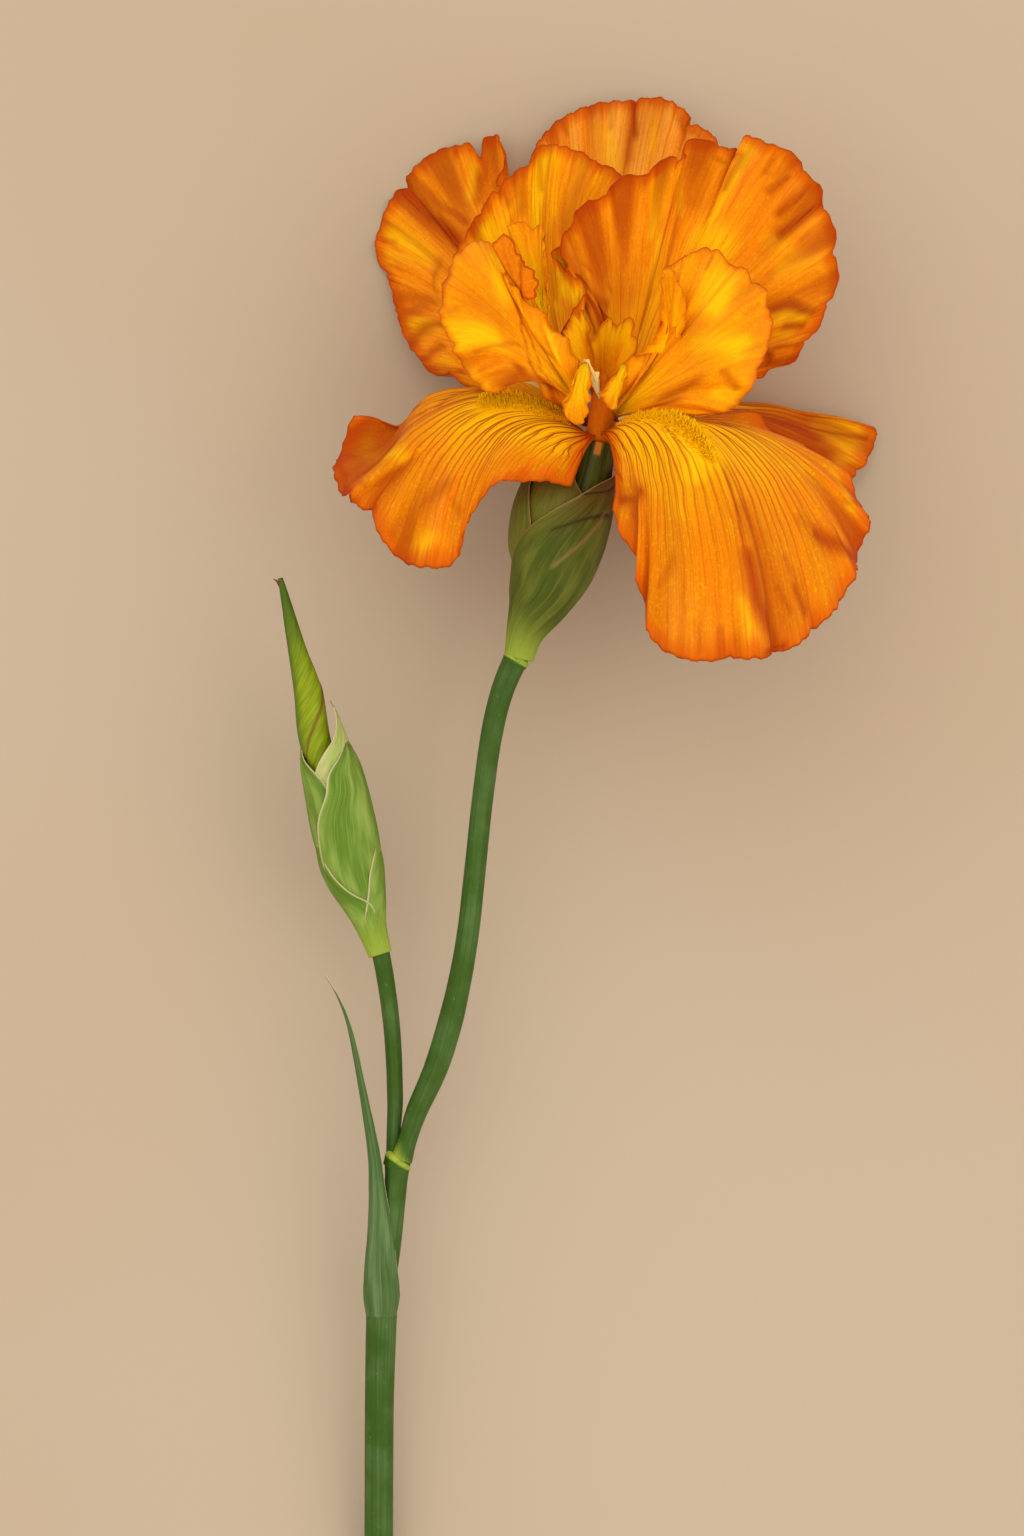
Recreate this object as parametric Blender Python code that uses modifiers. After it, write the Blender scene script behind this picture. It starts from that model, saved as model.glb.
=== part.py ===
"""A bearded iris, cut and laid down: one open flower, one bud, their stalks and a leaf.

Lengths are in millimetres in the plant's own frame, and MM scales them to metres:
X goes across the flower, Y along the stalk towards the flower, Z out of its front.
The origin is the flower's heart, where its petals meet. lay_down then tips the whole plant
so that it rests on the stem's cut end and on the backs of two petals.
"""

import math

import bmesh
import bpy
from mathutils import Vector

MM = 0.001
PETAL_THICKNESS = 0.9
VALVE_THICKNESS = 0.7
PETAL_CELLS = (20, 7)  # across and along
VALVE_CELLS = (14, 10)
LEAF_CELLS = (10, 26)
TUBE_RESOLUTION = 4
SLOPE_STEP = 0.01  # how far apart the two points are whose difference gives a slope

# How the plant lies: turned about X and then Y, and raised so that its lowest points touch the surface.
LIE_TILT = math.radians(7.32)
LIE_ROLL = math.radians(-1.35)
LIE_OFFSET = (4.48, 120.45, 50.23)

# A petal is a fan of ribs. They start along its foot, a short line at the heart,
# and each one is given as its half-way point and its end on the rim.
# They run from left to right as seen from the petal's upper or inner side, foot down.
PETALS = {
    "left_fall": {
        "foot": ((-1.4, -3.8, 6.2), (-6.6, -2.0, -2.4)),
        "ribs": (
            ((-5, -9.5, 11), (-8, -18.5, 14)),
            ((-11, -8.5, 13), (-18, -17.5, 19)),
            ((-17, -6, 15), (-29, -18, 25)),
            ((-22, -4, 16), (-36, -25, 28)),
            ((-26, -4, 16), (-39, -34, 30)),
            ((-30, -4.5, 15), (-43, -41.5, 30)),
            ((-34, -3, 14), (-51.5, -42.5, 28)),
            ((-38, 0.5, 12), (-60.5, -37, 24)),
            ((-39, 3.5, 9), (-67.5, -26, 18)),
            ((-39, 6, 5), (-75.5, -20.5, 10)),
            ((-37, 7.5, 1), (-78, -10, 0)),
            ((-34, 7.5, -4), (-70, 1, -10)),
            ((-30, 6, -10), (-57.5, -6, -22)),
            ((-26, 4, -13), (-42.5, -7.5, -30)),
            ((-17, 0.5, -11), (-24, -12, -24)),
            ((-10, -2.5, -7), (-11, -10.5, -12)),
        ),
    },
    "right_fall": {
        "foot": ((6.6, -3.0, 2.2), (0.4, -3.8, 6.7)),
        "ribs": (
            ((22, 0.5, 3), (41, 5.5, -2)),
            ((27.5, 1, 8), (53, -4, 3)),
            ((34.5, 0.5, 12), (65.5, -11, 8)),
            ((39.5, -1.5, 16), (73, -18.5, 13)),
            ((43, -3, 20), (77, -30.5, 18)),
            ((44, -5.5, 25), (72, -45, 25)),
            ((42, -7.5, 30), (64, -57, 32)),
            ((37.5, -9, 34), (56, -64, 38)),
            ((32.5, -9, 38), (48, -68, 44)),
            ((26, -9, 39), (36, -69, 47)),
            ((19, -11, 36), (23.5, -69, 47)),
            ((13.5, -11.5, 31), (13, -62, 44)),
            ((8, -10.5, 25), (9.5, -42.5, 38)),
            ((3.5, -10, 17), (3, -26, 26)),
        ),
    },
    "back_fall": {
        "foot": ((1.5, -3.5, -7.0), (6.9, -3.5, -1.2)),
        "ribs": (
            ((6.5, -5, -21), (8.5, -18.5, -36)),
            ((14.5, 1.5, -29), (23.5, -11.5, -48)),
            ((24, 6, -33), (40, -2, -51)),
            ((32, 8, -34), (56.5, 1.5, -51)),
            ((39, 8, -33), (72, 3, -49)),
            ((43.5, 8, -31), (83, 0.5, -47)),
            ((43, 4.5, -28), (79.5, -9.5, -44)),
            ((40, 0.5, -24), (72.5, -18, -40)),
            ((33.5, -4, -19), (59.5, -30.5, -34)),
            ((24.5, -6, -14), (41, -33, -24)),
            ((13, -6.5, -8), (22.5, -21.5, -14)),
        ),
    },
    "left_standard": {
        "foot": ((-4.6, 0, -3.4), (-1.6, 0, -5.2)),
        "ribs": (
            ((-20, 7.5, -16), (-38, 13.5, -26)),
            ((-29, 14.5, -25), (-51, 20, -34)),
            ((-34, 22, -31), (-58, 30, -42)),
            ((-36, 29.5, -36), (-62, 45, -50)),
            ((-36.5, 36, -40), (-66.5, 57, -55)),
            ((-33, 41.5, -43), (-61, 72, -58)),
            ((-29, 46, -45), (-51, 84, -58)),
            ((-24, 47, -46), (-37.5, 88, -56)),
            ((-20, 46, -45), (-29, 89, -53)),
            ((-17, 39.5, -41), (-29, 76, -50)),
            ((-11.5, 29.5, -33), (-22, 58, -44)),
        ),
    },
    "back_standard": {
        "foot": ((-0.6, 0, -5.6), (3.0, 0, -4.6)),
        "ribs": (
            ((-7.5, 33, -37), (-20, 67, -52)),
            ((-7.5, 41.5, -42), (-20, 82, -55)),
            ((-6.5, 47, -45), (-14.5, 92, -56)),
            ((-1.5, 51, -47), (-3.5, 98.5, -55)),
            ((5, 53, -47), (11, 100.5, -54)),
            ((11, 52, -46), (21.5, 100, -52)),
            ((16, 48.5, -43), (30.5, 92.5, -50)),
            ((20, 43.5, -39), (40, 83, -46)),
            ((21, 34.5, -33), (43.5, 66, -40)),
        ),
    },
    "middle_standard": {
        "foot": ((-5.0, 1.0, 1.8), (-4.2, 1.0, -2.0)),
        "ribs": (
            ((-16, 10, -3), (-30, 20.5, -6)),
            ((-21, 17.5, -8), (-40, 35, -12)),
            ((-24, 24, -12), (-43, 47.5, -16)),
            ((-24, 29, -15), (-39, 56.5, -17)),
            ((-22, 34.5, -17), (-34, 64.5, -17)),
            ((-20, 38.5, -18), (-29, 71.5, -17)),
            ((-18, 41.5, -19), (-21, 77, -17)),
            ((-16.5, 43.5, -19), (-17.5, 82.5, -17)),
            ((-13, 43.5, -18), (-10, 82.5, -17)),
            ((-9.5, 42.5, -16), (-2, 78.5, -16)),
            ((-6.5, 39, -13), (6.5, 72.5, -15)),
            ((-6, 33, -10), (-4, 59, -13)),
            ((-8.5, 27.5, -6), (-14, 49.5, -6)),
            ((-5.5, 22, -4), (-5, 40, -2)),
            ((-6.5, 14, -2.5), (-11.5, 27, -2)),
        ),
    },
    "right_standard": {
        "foot": ((3.2, 1.0, -2.6), (5.4, 1.0, 1.4)),
        "ribs": (
            ((5, 16.5, -6), (4.5, 29.5, -7)),
            ((3, 21.5, -7), (-3, 38.5, -7)),
            ((0, 26.5, -6), (-10, 47.5, -4)),
            ((-1, 30.5, -7), (-10.5, 53.5, -4)),
            ((1, 34.5, -9), (-7, 60.5, -4)),
            ((4, 38, -11), (-1, 65.5, -6)),
            ((8.5, 41, -14), (9, 72, -8)),
            ((14.5, 43.5, -17), (21.5, 78, -11)),
            ((17, 44.5, -18), (27.5, 83.5, -12)),
            ((21.5, 43.5, -18), (38.5, 81, -10)),
            ((24.5, 43.5, -17), (44, 84.5, -6)),
            ((29.5, 40, -15), (56, 78.5, -4)),
            ((33.5, 35, -12), (64, 66, 0)),
            ((34.5, 27.5, -9), (68, 47.5, 4)),
            ((33, 20.5, -7), (65.5, 33.5, 6)),
            ((28, 13.5, -5), (57.5, 21.5, 6)),
            ((22, 8.5, -4), (46, 13, 3)),
        ),
    },
    "left_style_arm": {
        "foot": ((-3.4, 1.5, 0.6), (-1.6, 1.5, 3.0)),
        "ribs": (
            ((-9, 4.5, 8), (-16, 7.5, 10)),
            ((-13, 10.5, 8), (-22, 16.5, 8)),
            ((-15, 11, 12), (-29, 8, 16)),
            ((-19, 14, 14), (-36, 11, 18)),
            ((-23, 18, 16), (-42, 19.5, 18)),
            ((-25, 22, 17), (-46, 29.5, 16)),
            ((-26, 26.5, 17), (-45, 41, 12)),
            ((-26, 30.5, 16), (-41, 49.5, 8)),
            ((-24, 33, 15), (-35, 52.5, 5)),
            ((-23, 32, 15), (-30, 50.5, 6)),
            ((-20, 27, 16), (-22, 37, 11)),
            ((-12, 18, 13), (-12, 26, 11)),
            ((-6, 10.5, 9), (-6, 18, 8)),
        ),
    },
    "right_style_arm": {
        "foot": ((1.2, 1.5, 3.4), (3.6, 1.5, 1.2)),
        "ribs": (
            ((0.5, 5, 6.5), (-0.5, 8.5, 8)),
            ((4, 9.5, 9), (7, 17, 11)),
            ((8, 10.5, 11), (12.5, 20, 13)),
            ((10.5, 11.5, 12.5), (18.5, 23, 14)),
            ((12, 15, 13), (18.5, 37, 12)),
            ((13, 18, 13), (18.5, 44.5, 9)),
            ((15.5, 21, 13), (25, 48, 8)),
            ((18.5, 23, 14), (30.5, 51, 8)),
            ((21.5, 23, 16), (39.5, 45, 10)),
            ((24.5, 20.5, 18), (46.5, 40, 12)),
            ((26.5, 16, 20), (49.5, 28, 16)),
            ((25.5, 11.5, 21), (46, 16.5, 20)),
            ((22.5, 9, 19), (41, 8, 21)),
            ((17.5, 7, 17), (32, 4, 22)),
            ((11.5, 6, 12), (22.5, 8.5, 18)),
        ),
    },
    "back_style_arm": {
        "foot": ((-1.2, 2.5, -0.6), (1.4, 2.5, -0.6)),
        "ribs": (
            ((-2.5, 11, 0.5), (-9, 20, 4.5)),
            ((-2.5, 15, -1.5), (-10, 28, 4.5)),
            ((-2, 17.5, -4), (-5, 33, 2)),
            ((-0.5, 15.5, -4), (-2.5, 25, 0)),
            ((1, 16.5, -4), (2, 31, 0)),
            ((2, 16, -4), (5, 29, 0)),
            ((3.5, 15, -3), (9, 31, 1)),
            ((3, 11, -1.5), (11, 21, 3)),
        ),
    },
}

# Where each beard lies on its fall: how far across, and from where to where along the rib.
BEARDS = {
    "left_beard": ("left_fall", 0.60, 0.12, 0.52),
    "right_beard": ("right_fall", 0.60, 0.12, 0.46),
    "back_beard": ("back_fall", 0.50, 0.14, 0.50),
}
BEARD_POINTS = 5
BEARD_RADIUS = 1.3
BEARD_LIFT = 2.2

# Stalks, stamens, tube and bud are routes with a radius at each point: x, y, z, radius.
MAIN_STEM = (
    (-64.1, -350, 0, 4.2),
    (-64.1, -322, 0.5, 4.1),
    (-63.9, -283, 0.5, 4.2),
    (-63.4, -262, 0.2, 4.4),
    (-63.2, -257, 0, 4.4),
    (-62.6, -248, 0, 3.7),
    (-60.9, -236, 0, 3.4),
    (-59.2, -220, 0, 3.3),
    (-58.7, -214.5, 0, 3.7),
    (-58.4, -211.6, 0, 3.9),
)
FLOWER_STALK = (
    (-56.2, -210.4, 0.3, 2.1),
    (-52.6, -199.5, 0.8, 3.0),
    (-47.8, -187, 1.2, 3.5),
    (-44.2, -176, 1.6, 3.6),
    (-41.0, -163, 2, 3.4),
    (-38.2, -147, 2.2, 3.2),
    (-36.2, -129, 2, 3.1),
    (-34.1, -109, 1.5, 3.05),
    (-31.6, -91, 0.8, 3.15),
    (-28.6, -78, 0.3, 3.3),
    (-24.4, -67.9, 0, 3.6),
)
BUD_STALK = (
    (-60.7, -210.4, -0.9, 1.6),
    (-59.7, -203, -1.2, 2.1),
    (-59.4, -195, -1.5, 2.3),
    (-60.1, -178, -2, 2.4),
    (-61.7, -164, -2.6, 2.5),
    (-63.5, -153.6, -3, 2.6),
)
PERIANTH_TUBE = (
    (-21.8, -62, 0, 2.6),
    (-17.5, -53, 0, 3.6),
    (-12.2, -40, 0, 4.6),
    (-7.4, -27, 0, 5.0),
    (-3.6, -17.5, 0, 5.0),
    (-2.2, -12, 0, 5.4),
    (-1.2, -8, 0, 5.6),
    (-0.7, -5.8, 0, 5.7),
)
STAMENS = {
    "left_stamen": (
        (-6.6, 3.4, 1.6, 0.6),
        (-12, 7.8, 2.6, 0.7),
        (-17, 11.3, 3, 1.0),
        (-23, 13.6, 3, 0.8),
    ),
    "right_stamen": (
        (5.4, 1.2, 5.2, 0.6),
        (9.5, 2.6, 7.6, 0.7),
        (14, 4.2, 10.6, 0.9),
        (18, 5.2, 13, 0.8),
    ),
    "back_stamen": (
        (0.2, 2.6, -3, 0.6),
        (-0.3, 8, -7, 0.7),
        (-0.6, 13, -10.5, 1.0),
        (-0.8, 19, -14, 0.8),
    ),
}
BUD = (
    (-72.5, -126, -3.2, 3.4),
    (-77.2, -108, -3.6, 4.0),
    (-82.2, -92, -4, 3.7),
    (-85.4, -77, -4, 3.6),
    (-88, -65.3, -4, 2.5),
    (-91.2, -51, -4, 1.4),
    (-92.8, -44.3, -4, 0.7),
)

# A spathe wraps round an axis, x, y, z and radius. Each of its valves covers part of the turn:
# its inset from the axis's radius, how far up the axis it starts and ends, then the direction
# that its middle faces and the half-angle that it covers, in degrees, from its base to its tip.
# 0 degrees is +X and 90 the front.
FLOWER_SPATHE = (
    (-23.3, -66.9, 0, 4.0),
    (-21.6, -60, 0, 5.2),
    (-17.7, -51, 0, 8.4),
    (-14.4, -42, 0, 11.6),
    (-12.9, -34, 0, 13.2),
    (-11.3, -25, 0, 13.4),
    (-9.4, -17, 0, 11.8),
    (-6.5, -11, 0, 9.0),
)
FLOWER_VALVES = {
    "flower_spathe_right": {
        "inset": 0.0,
        "span": (0.0, 0.93),
        "cover": ((60, 172), (50, 165), (42, 152), (36, 132), (34, 104), (34, 58), (32, 8)),
    },
    "flower_spathe_left": {
        "inset": 1.6,
        "span": (0.24, 1.0),
        "cover": ((190, 70), (188, 68), (186, 64), (184, 58), (182, 50), (178, 34), (176, 8)),
    },
    "flower_spathe_inner": {
        "inset": 3.0,
        "span": (0.30, 0.94),
        "cover": ((135, 75), (135, 75), (134, 74), (132, 70), (126, 58), (112, 34), (96, 8)),
    },
}
BUD_SPATHE = (
    (-64.0, -152.8, -3, 3.0),
    (-66.2, -146, -3, 3.9),
    (-68.2, -139, -3, 5.7),
    (-71.2, -130, -3.2, 8.1),
    (-74.2, -119, -3.5, 9.3),
    (-77.2, -105, -3.8, 8.9),
    (-79.6, -94.5, -4, 7.8),
    (-81.6, -80.5, -4, 4.6),
)
BUD_VALVES = {
    "bud_spathe_front": {
        "inset": 0.0,
        "span": (0.0, 1.0),
        "cover": ((60, 170), (58, 158), (50, 128), (42, 100), (36, 76), (30, 58), (26, 36), (22, 5)),
    },
    "bud_spathe_left": {
        "inset": 1.25,
        "span": (0.20, 0.88),
        "cover": ((190, 110), (190, 112), (190, 112), (186, 104), (182, 88), (176, 60), (172, 32), (170, 5)),
    },
    "bud_spathe_back": {
        "inset": 2.6,
        "span": (0.32, 0.84),
        "cover": ((-70, 80), (-70, 80), (-66, 74), (-60, 66), (-54, 52), (-50, 36), (-46, 20), (-44, 5)),
    },
}
SPATHE_FLATNESS = 0.92  # a spathe is a little flatter than it is wide

# The clasping leaf wraps round its own axis: x, y, z, radius, and the same two angles.
STEM_LEAF = (
    (-63.3, -257.8, 0, 5.4, 180, 165),
    (-63.0, -249, 0, 5.3, 180, 155),
    (-63.0, -240, 0.2, 5.2, 176, 136),
    (-64.1, -231, 1.0, 3.8, 162, 112),
    (-64.0, -221, 1.8, 2.7, 156, 98),
    (-65.0, -210, 2.2, 2.0, 158, 92),
    (-67.4, -192, 2.0, 1.5, 164, 84),
    (-71.0, -176, 1.5, 1.2, 166, 74),
    (-74.6, -166.5, 1.2, 1.0, 168, 56),
    (-79.0, -158.8, 1.0, 0.9, 170, 12),
)


COLOURS = {
    "fall": ((0.80, 0.24, 0.01), 0.5),
    "standard": ((0.82, 0.30, 0.02), 0.5),
    "style": ((0.90, 0.40, 0.01), 0.5),
    "beard": ((1.0, 0.55, 0.01), 0.8),
    "stamen": ((0.90, 0.75, 0.45), 0.7),
    "tube": ((0.06, 0.14, 0.02), 0.45),
    "stem": ((0.05, 0.15, 0.03), 0.45),
    "leaf": ((0.07, 0.17, 0.06), 0.5),
    "flower_spathe": ((0.13, 0.17, 0.02), 0.55),
    "bud_spathe": ((0.22, 0.32, 0.10), 0.55),
    "bud": ((0.28, 0.32, 0.01), 0.4),
}


def clear_scene():
    for obj in list(bpy.data.objects):
        bpy.data.objects.remove(obj, do_unlink=True)


def new_material(name):
    colour, roughness = COLOURS[name]
    material = bpy.data.materials.new(name)
    material.use_nodes = True
    shader = material.node_tree.nodes["Principled BSDF"]
    shader.inputs["Base Color"].default_value = (*colour, 1.0)
    shader.inputs["Roughness"].default_value = roughness
    shader.inputs["Metallic"].default_value = 0.0
    return material


def along(rows, t):
    """The smooth curve through the rows, which may have any number of values, at t from 0 to 1."""
    place = min(max(t, 0.0), 1.0) * (len(rows) - 1)
    i = min(int(place), len(rows) - 2)
    u = place - i
    before = rows[max(i - 1, 0)]
    after = rows[min(i + 2, len(rows) - 1)]
    weights = (
        (-u + 2 * u**2 - u**3) / 2,
        (2 - 5 * u**2 + 3 * u**3) / 2,
        (u + 4 * u**2 - 3 * u**3) / 2,
        (u**3 - u**2) / 2,
    )
    four = (before, rows[i], rows[i + 1], after)
    return [sum(w * row[k] for w, row in zip(weights, four)) for k in range(len(rows[0]))]


def petal_point(petal, s, t):
    """The point of a petal at s across its fan and t along the rib."""
    half_way = Vector(along([rib[0] for rib in petal["ribs"]], s))
    end = Vector(along([rib[1] for rib in petal["ribs"]], s))
    start = Vector(petal["foot"][0]).lerp(Vector(petal["foot"][1]), s)
    handle = 2 * half_way - (start + end) / 2
    return start * (1 - t) ** 2 + handle * 2 * t * (1 - t) + end * t**2


def upper_normal(petal, s, t):
    across = petal_point(petal, s + SLOPE_STEP, t) - petal_point(petal, s - SLOPE_STEP, t)
    outward = petal_point(petal, s, t + SLOPE_STEP) - petal_point(petal, s, t - SLOPE_STEP)
    return across.cross(outward).normalized()


def add_sheet(name, material, cells, thickness, place):
    """A grid laid out by place(s, t) and thickened to a closed shell."""
    grid = bmesh.new()
    bmesh.ops.create_grid(grid, x_segments=cells[0], y_segments=cells[1], size=0.5)
    for vertex in grid.verts:
        vertex.co = place(vertex.co.x + 0.5, vertex.co.y + 0.5) * MM
    mesh = bpy.data.meshes.new(name)
    grid.to_mesh(mesh)
    grid.free()
    sheet = bpy.data.objects.new(name, mesh)
    shell = sheet.modifiers.new("thickness", "SOLIDIFY")
    shell.thickness = thickness * MM
    shell.offset = 0.0
    return add_piece(sheet, material)


def add_tube(name, material, route):
    """A round stalk along a route of points x, y, z and radius, with one more point between each two."""
    count = 2 * len(route) - 1
    curve = bpy.data.curves.new(name, "CURVE")
    curve.dimensions = "3D"
    curve.bevel_depth = MM
    curve.bevel_resolution = TUBE_RESOLUTION
    curve.use_fill_caps = True
    spline = curve.splines.new("POLY")
    spline.points.add(count - 1)
    for i, point in enumerate(spline.points):
        x, y, z, radius = along(route, i / (count - 1))
        point.co = (x * MM, y * MM, z * MM, 1.0)
        point.radius = radius
    return add_piece(bpy.data.objects.new(name, curve), material)


def add_piece(piece, material):
    piece.data.materials.append(material)
    if piece.type == "MESH":
        piece.data.shade_smooth()
    bpy.data.collections["bearded_iris"].objects.link(piece)
    piece.parent = bpy.data.objects["laid_plant"]
    return piece


def wrapped_point(axis_rows, t, radius, angle):
    """A point at an angle round an axis, at t along it."""
    here = Vector(along(axis_rows, t)[:3])
    ahead = Vector(along(axis_rows, t + SLOPE_STEP)[:3])
    behind = Vector(along(axis_rows, t - SLOPE_STEP)[:3])
    forward = ahead - behind
    sideways = Vector((forward.y, -forward.x, 0)).normalized()
    front = sideways.cross(forward).normalized()
    return here + radius * (math.cos(angle) * sideways + math.sin(angle) * front)


def add_petal(name, material):
    petal = PETALS[name]
    add_sheet(name, material, PETAL_CELLS, PETAL_THICKNESS, lambda s, t: petal_point(petal, s, t))


def add_beard(name, material):
    fall_name, s, first, last = BEARDS[name]
    fall = PETALS[fall_name]
    route = []
    for i in range(BEARD_POINTS):
        t = first + (last - first) * i / (BEARD_POINTS - 1)
        centre = petal_point(fall, s, t) + upper_normal(fall, s, t) * BEARD_LIFT
        route.append((*centre, BEARD_RADIUS))
    add_tube(name, material, route)


def add_valve(name, material, axis_rows, valve):
    first, last = valve["span"]

    def place(s, t):
        middle, half = along(valve["cover"], t)
        height = first + (last - first) * t
        radius = along(axis_rows, height)[3] - valve["inset"]
        angle = math.radians(middle + half * (1 - 2 * s))
        point = wrapped_point(axis_rows, height, radius, angle)
        point.z = axis_rows[0][2] + (point.z - axis_rows[0][2]) * SPATHE_FLATNESS
        return point

    add_sheet(name, material, VALVE_CELLS, VALVE_THICKNESS, place)


def add_leaf(name, material):
    def place(s, t):
        radius, middle, half = along(STEM_LEAF, t)[3:]
        return wrapped_point(STEM_LEAF, t, radius, math.radians(middle + half * (1 - 2 * s)))

    add_sheet(name, material, LEAF_CELLS, VALVE_THICKNESS, place)


def lay_down():
    """The empty that every piece hangs on, turned so that the plant rests on the surface."""
    empty = bpy.data.objects.new("laid_plant", None)
    empty.rotation_euler = (LIE_TILT, LIE_ROLL, 0.0)
    empty.location = Vector(LIE_OFFSET) * MM
    bpy.data.collections["bearded_iris"].objects.link(empty)


def main():
    clear_scene()
    bpy.context.scene.collection.children.link(bpy.data.collections.new("bearded_iris"))
    lay_down()
    slots = {name: new_material(name) for name in COLOURS}
    for name in PETALS:
        slot = name.split("_")[1]
        add_petal(name, slots[slot])
    for name in BEARDS:
        add_beard(name, slots["beard"])
    for name, route in STAMENS.items():
        add_tube(name, slots["stamen"], route)
    add_tube("perianth_tube", slots["tube"], PERIANTH_TUBE)
    add_tube("main_stem", slots["stem"], MAIN_STEM)
    add_tube("flower_stalk", slots["stem"], FLOWER_STALK)
    add_tube("bud_stalk", slots["stem"], BUD_STALK)
    add_tube("bud", slots["bud"], BUD)
    for name, valve in FLOWER_VALVES.items():
        add_valve(name, slots["flower_spathe"], FLOWER_SPATHE, valve)
    for name, valve in BUD_VALVES.items():
        add_valve(name, slots["bud_spathe"], BUD_SPATHE, valve)
    add_leaf("stem_leaf", slots["leaf"])


main()
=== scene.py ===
"""The looks of a cut bearded iris that lies on a pale surface.

Lengths are in millimetres in the plant's own frame until lay_down() scales them to metres:
X goes across the flower, Y along the stalk towards the flower, Z out of its front, and the
origin is the flower's heart. The petals, spathes and stalks follow the same ribs and routes
as the solids they stand for, with ruffled rims, veins, hairs and papery margins added.
"""

import math

import bpy
import numpy as np
from bpy.props import FloatProperty, FloatVectorProperty, PointerProperty
from bpy.types import Operator, Panel, PropertyGroup
from mathutils import Euler, Matrix, Vector


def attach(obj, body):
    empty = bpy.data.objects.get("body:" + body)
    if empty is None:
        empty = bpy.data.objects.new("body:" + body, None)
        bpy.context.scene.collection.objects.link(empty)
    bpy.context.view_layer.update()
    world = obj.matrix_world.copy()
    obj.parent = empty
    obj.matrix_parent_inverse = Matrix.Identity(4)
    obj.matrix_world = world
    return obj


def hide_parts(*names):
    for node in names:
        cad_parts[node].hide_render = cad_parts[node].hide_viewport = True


bl_info = {
    "name": "Cut Bearded Iris",
    "version": (1, 0, 0),
    "blender": (4, 5, 0),
    "location": "3D View > Sidebar > Iris",
    "description": "Dresses a cut bearded iris with petals, beards, spathes, bud, stalks and leaf",
    "category": "Object",
}

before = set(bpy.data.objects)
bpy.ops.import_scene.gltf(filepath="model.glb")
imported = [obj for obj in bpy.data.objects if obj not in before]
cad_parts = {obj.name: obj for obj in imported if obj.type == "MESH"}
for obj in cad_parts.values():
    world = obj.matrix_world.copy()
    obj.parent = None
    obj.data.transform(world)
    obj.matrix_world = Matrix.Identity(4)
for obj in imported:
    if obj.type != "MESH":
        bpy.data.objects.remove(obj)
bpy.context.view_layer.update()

MM = 0.001

# How the plant lies: its own frame is tilted, rolled and then lifted, in millimetres.
LIE_TILT = math.radians(7.32)
LIE_ROLL = math.radians(-1.35)
LIE_OFFSET = (4.48, 120.45, 50.23)
LIE_TURN = Euler((LIE_TILT, LIE_ROLL, 0.0)).to_matrix()

FLOOR_CLEARANCE = 0.15  # how far above the surface the lowest place stays
FLOOR_SHARPNESS = 3.0  # how suddenly a low place stops sinking towards the surface
FLOOR_REACH = 6.0  # above this height nothing is lifted
SLOPE_STEP = 0.004  # the step in a place, across or along, over which a slope is measured

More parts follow.
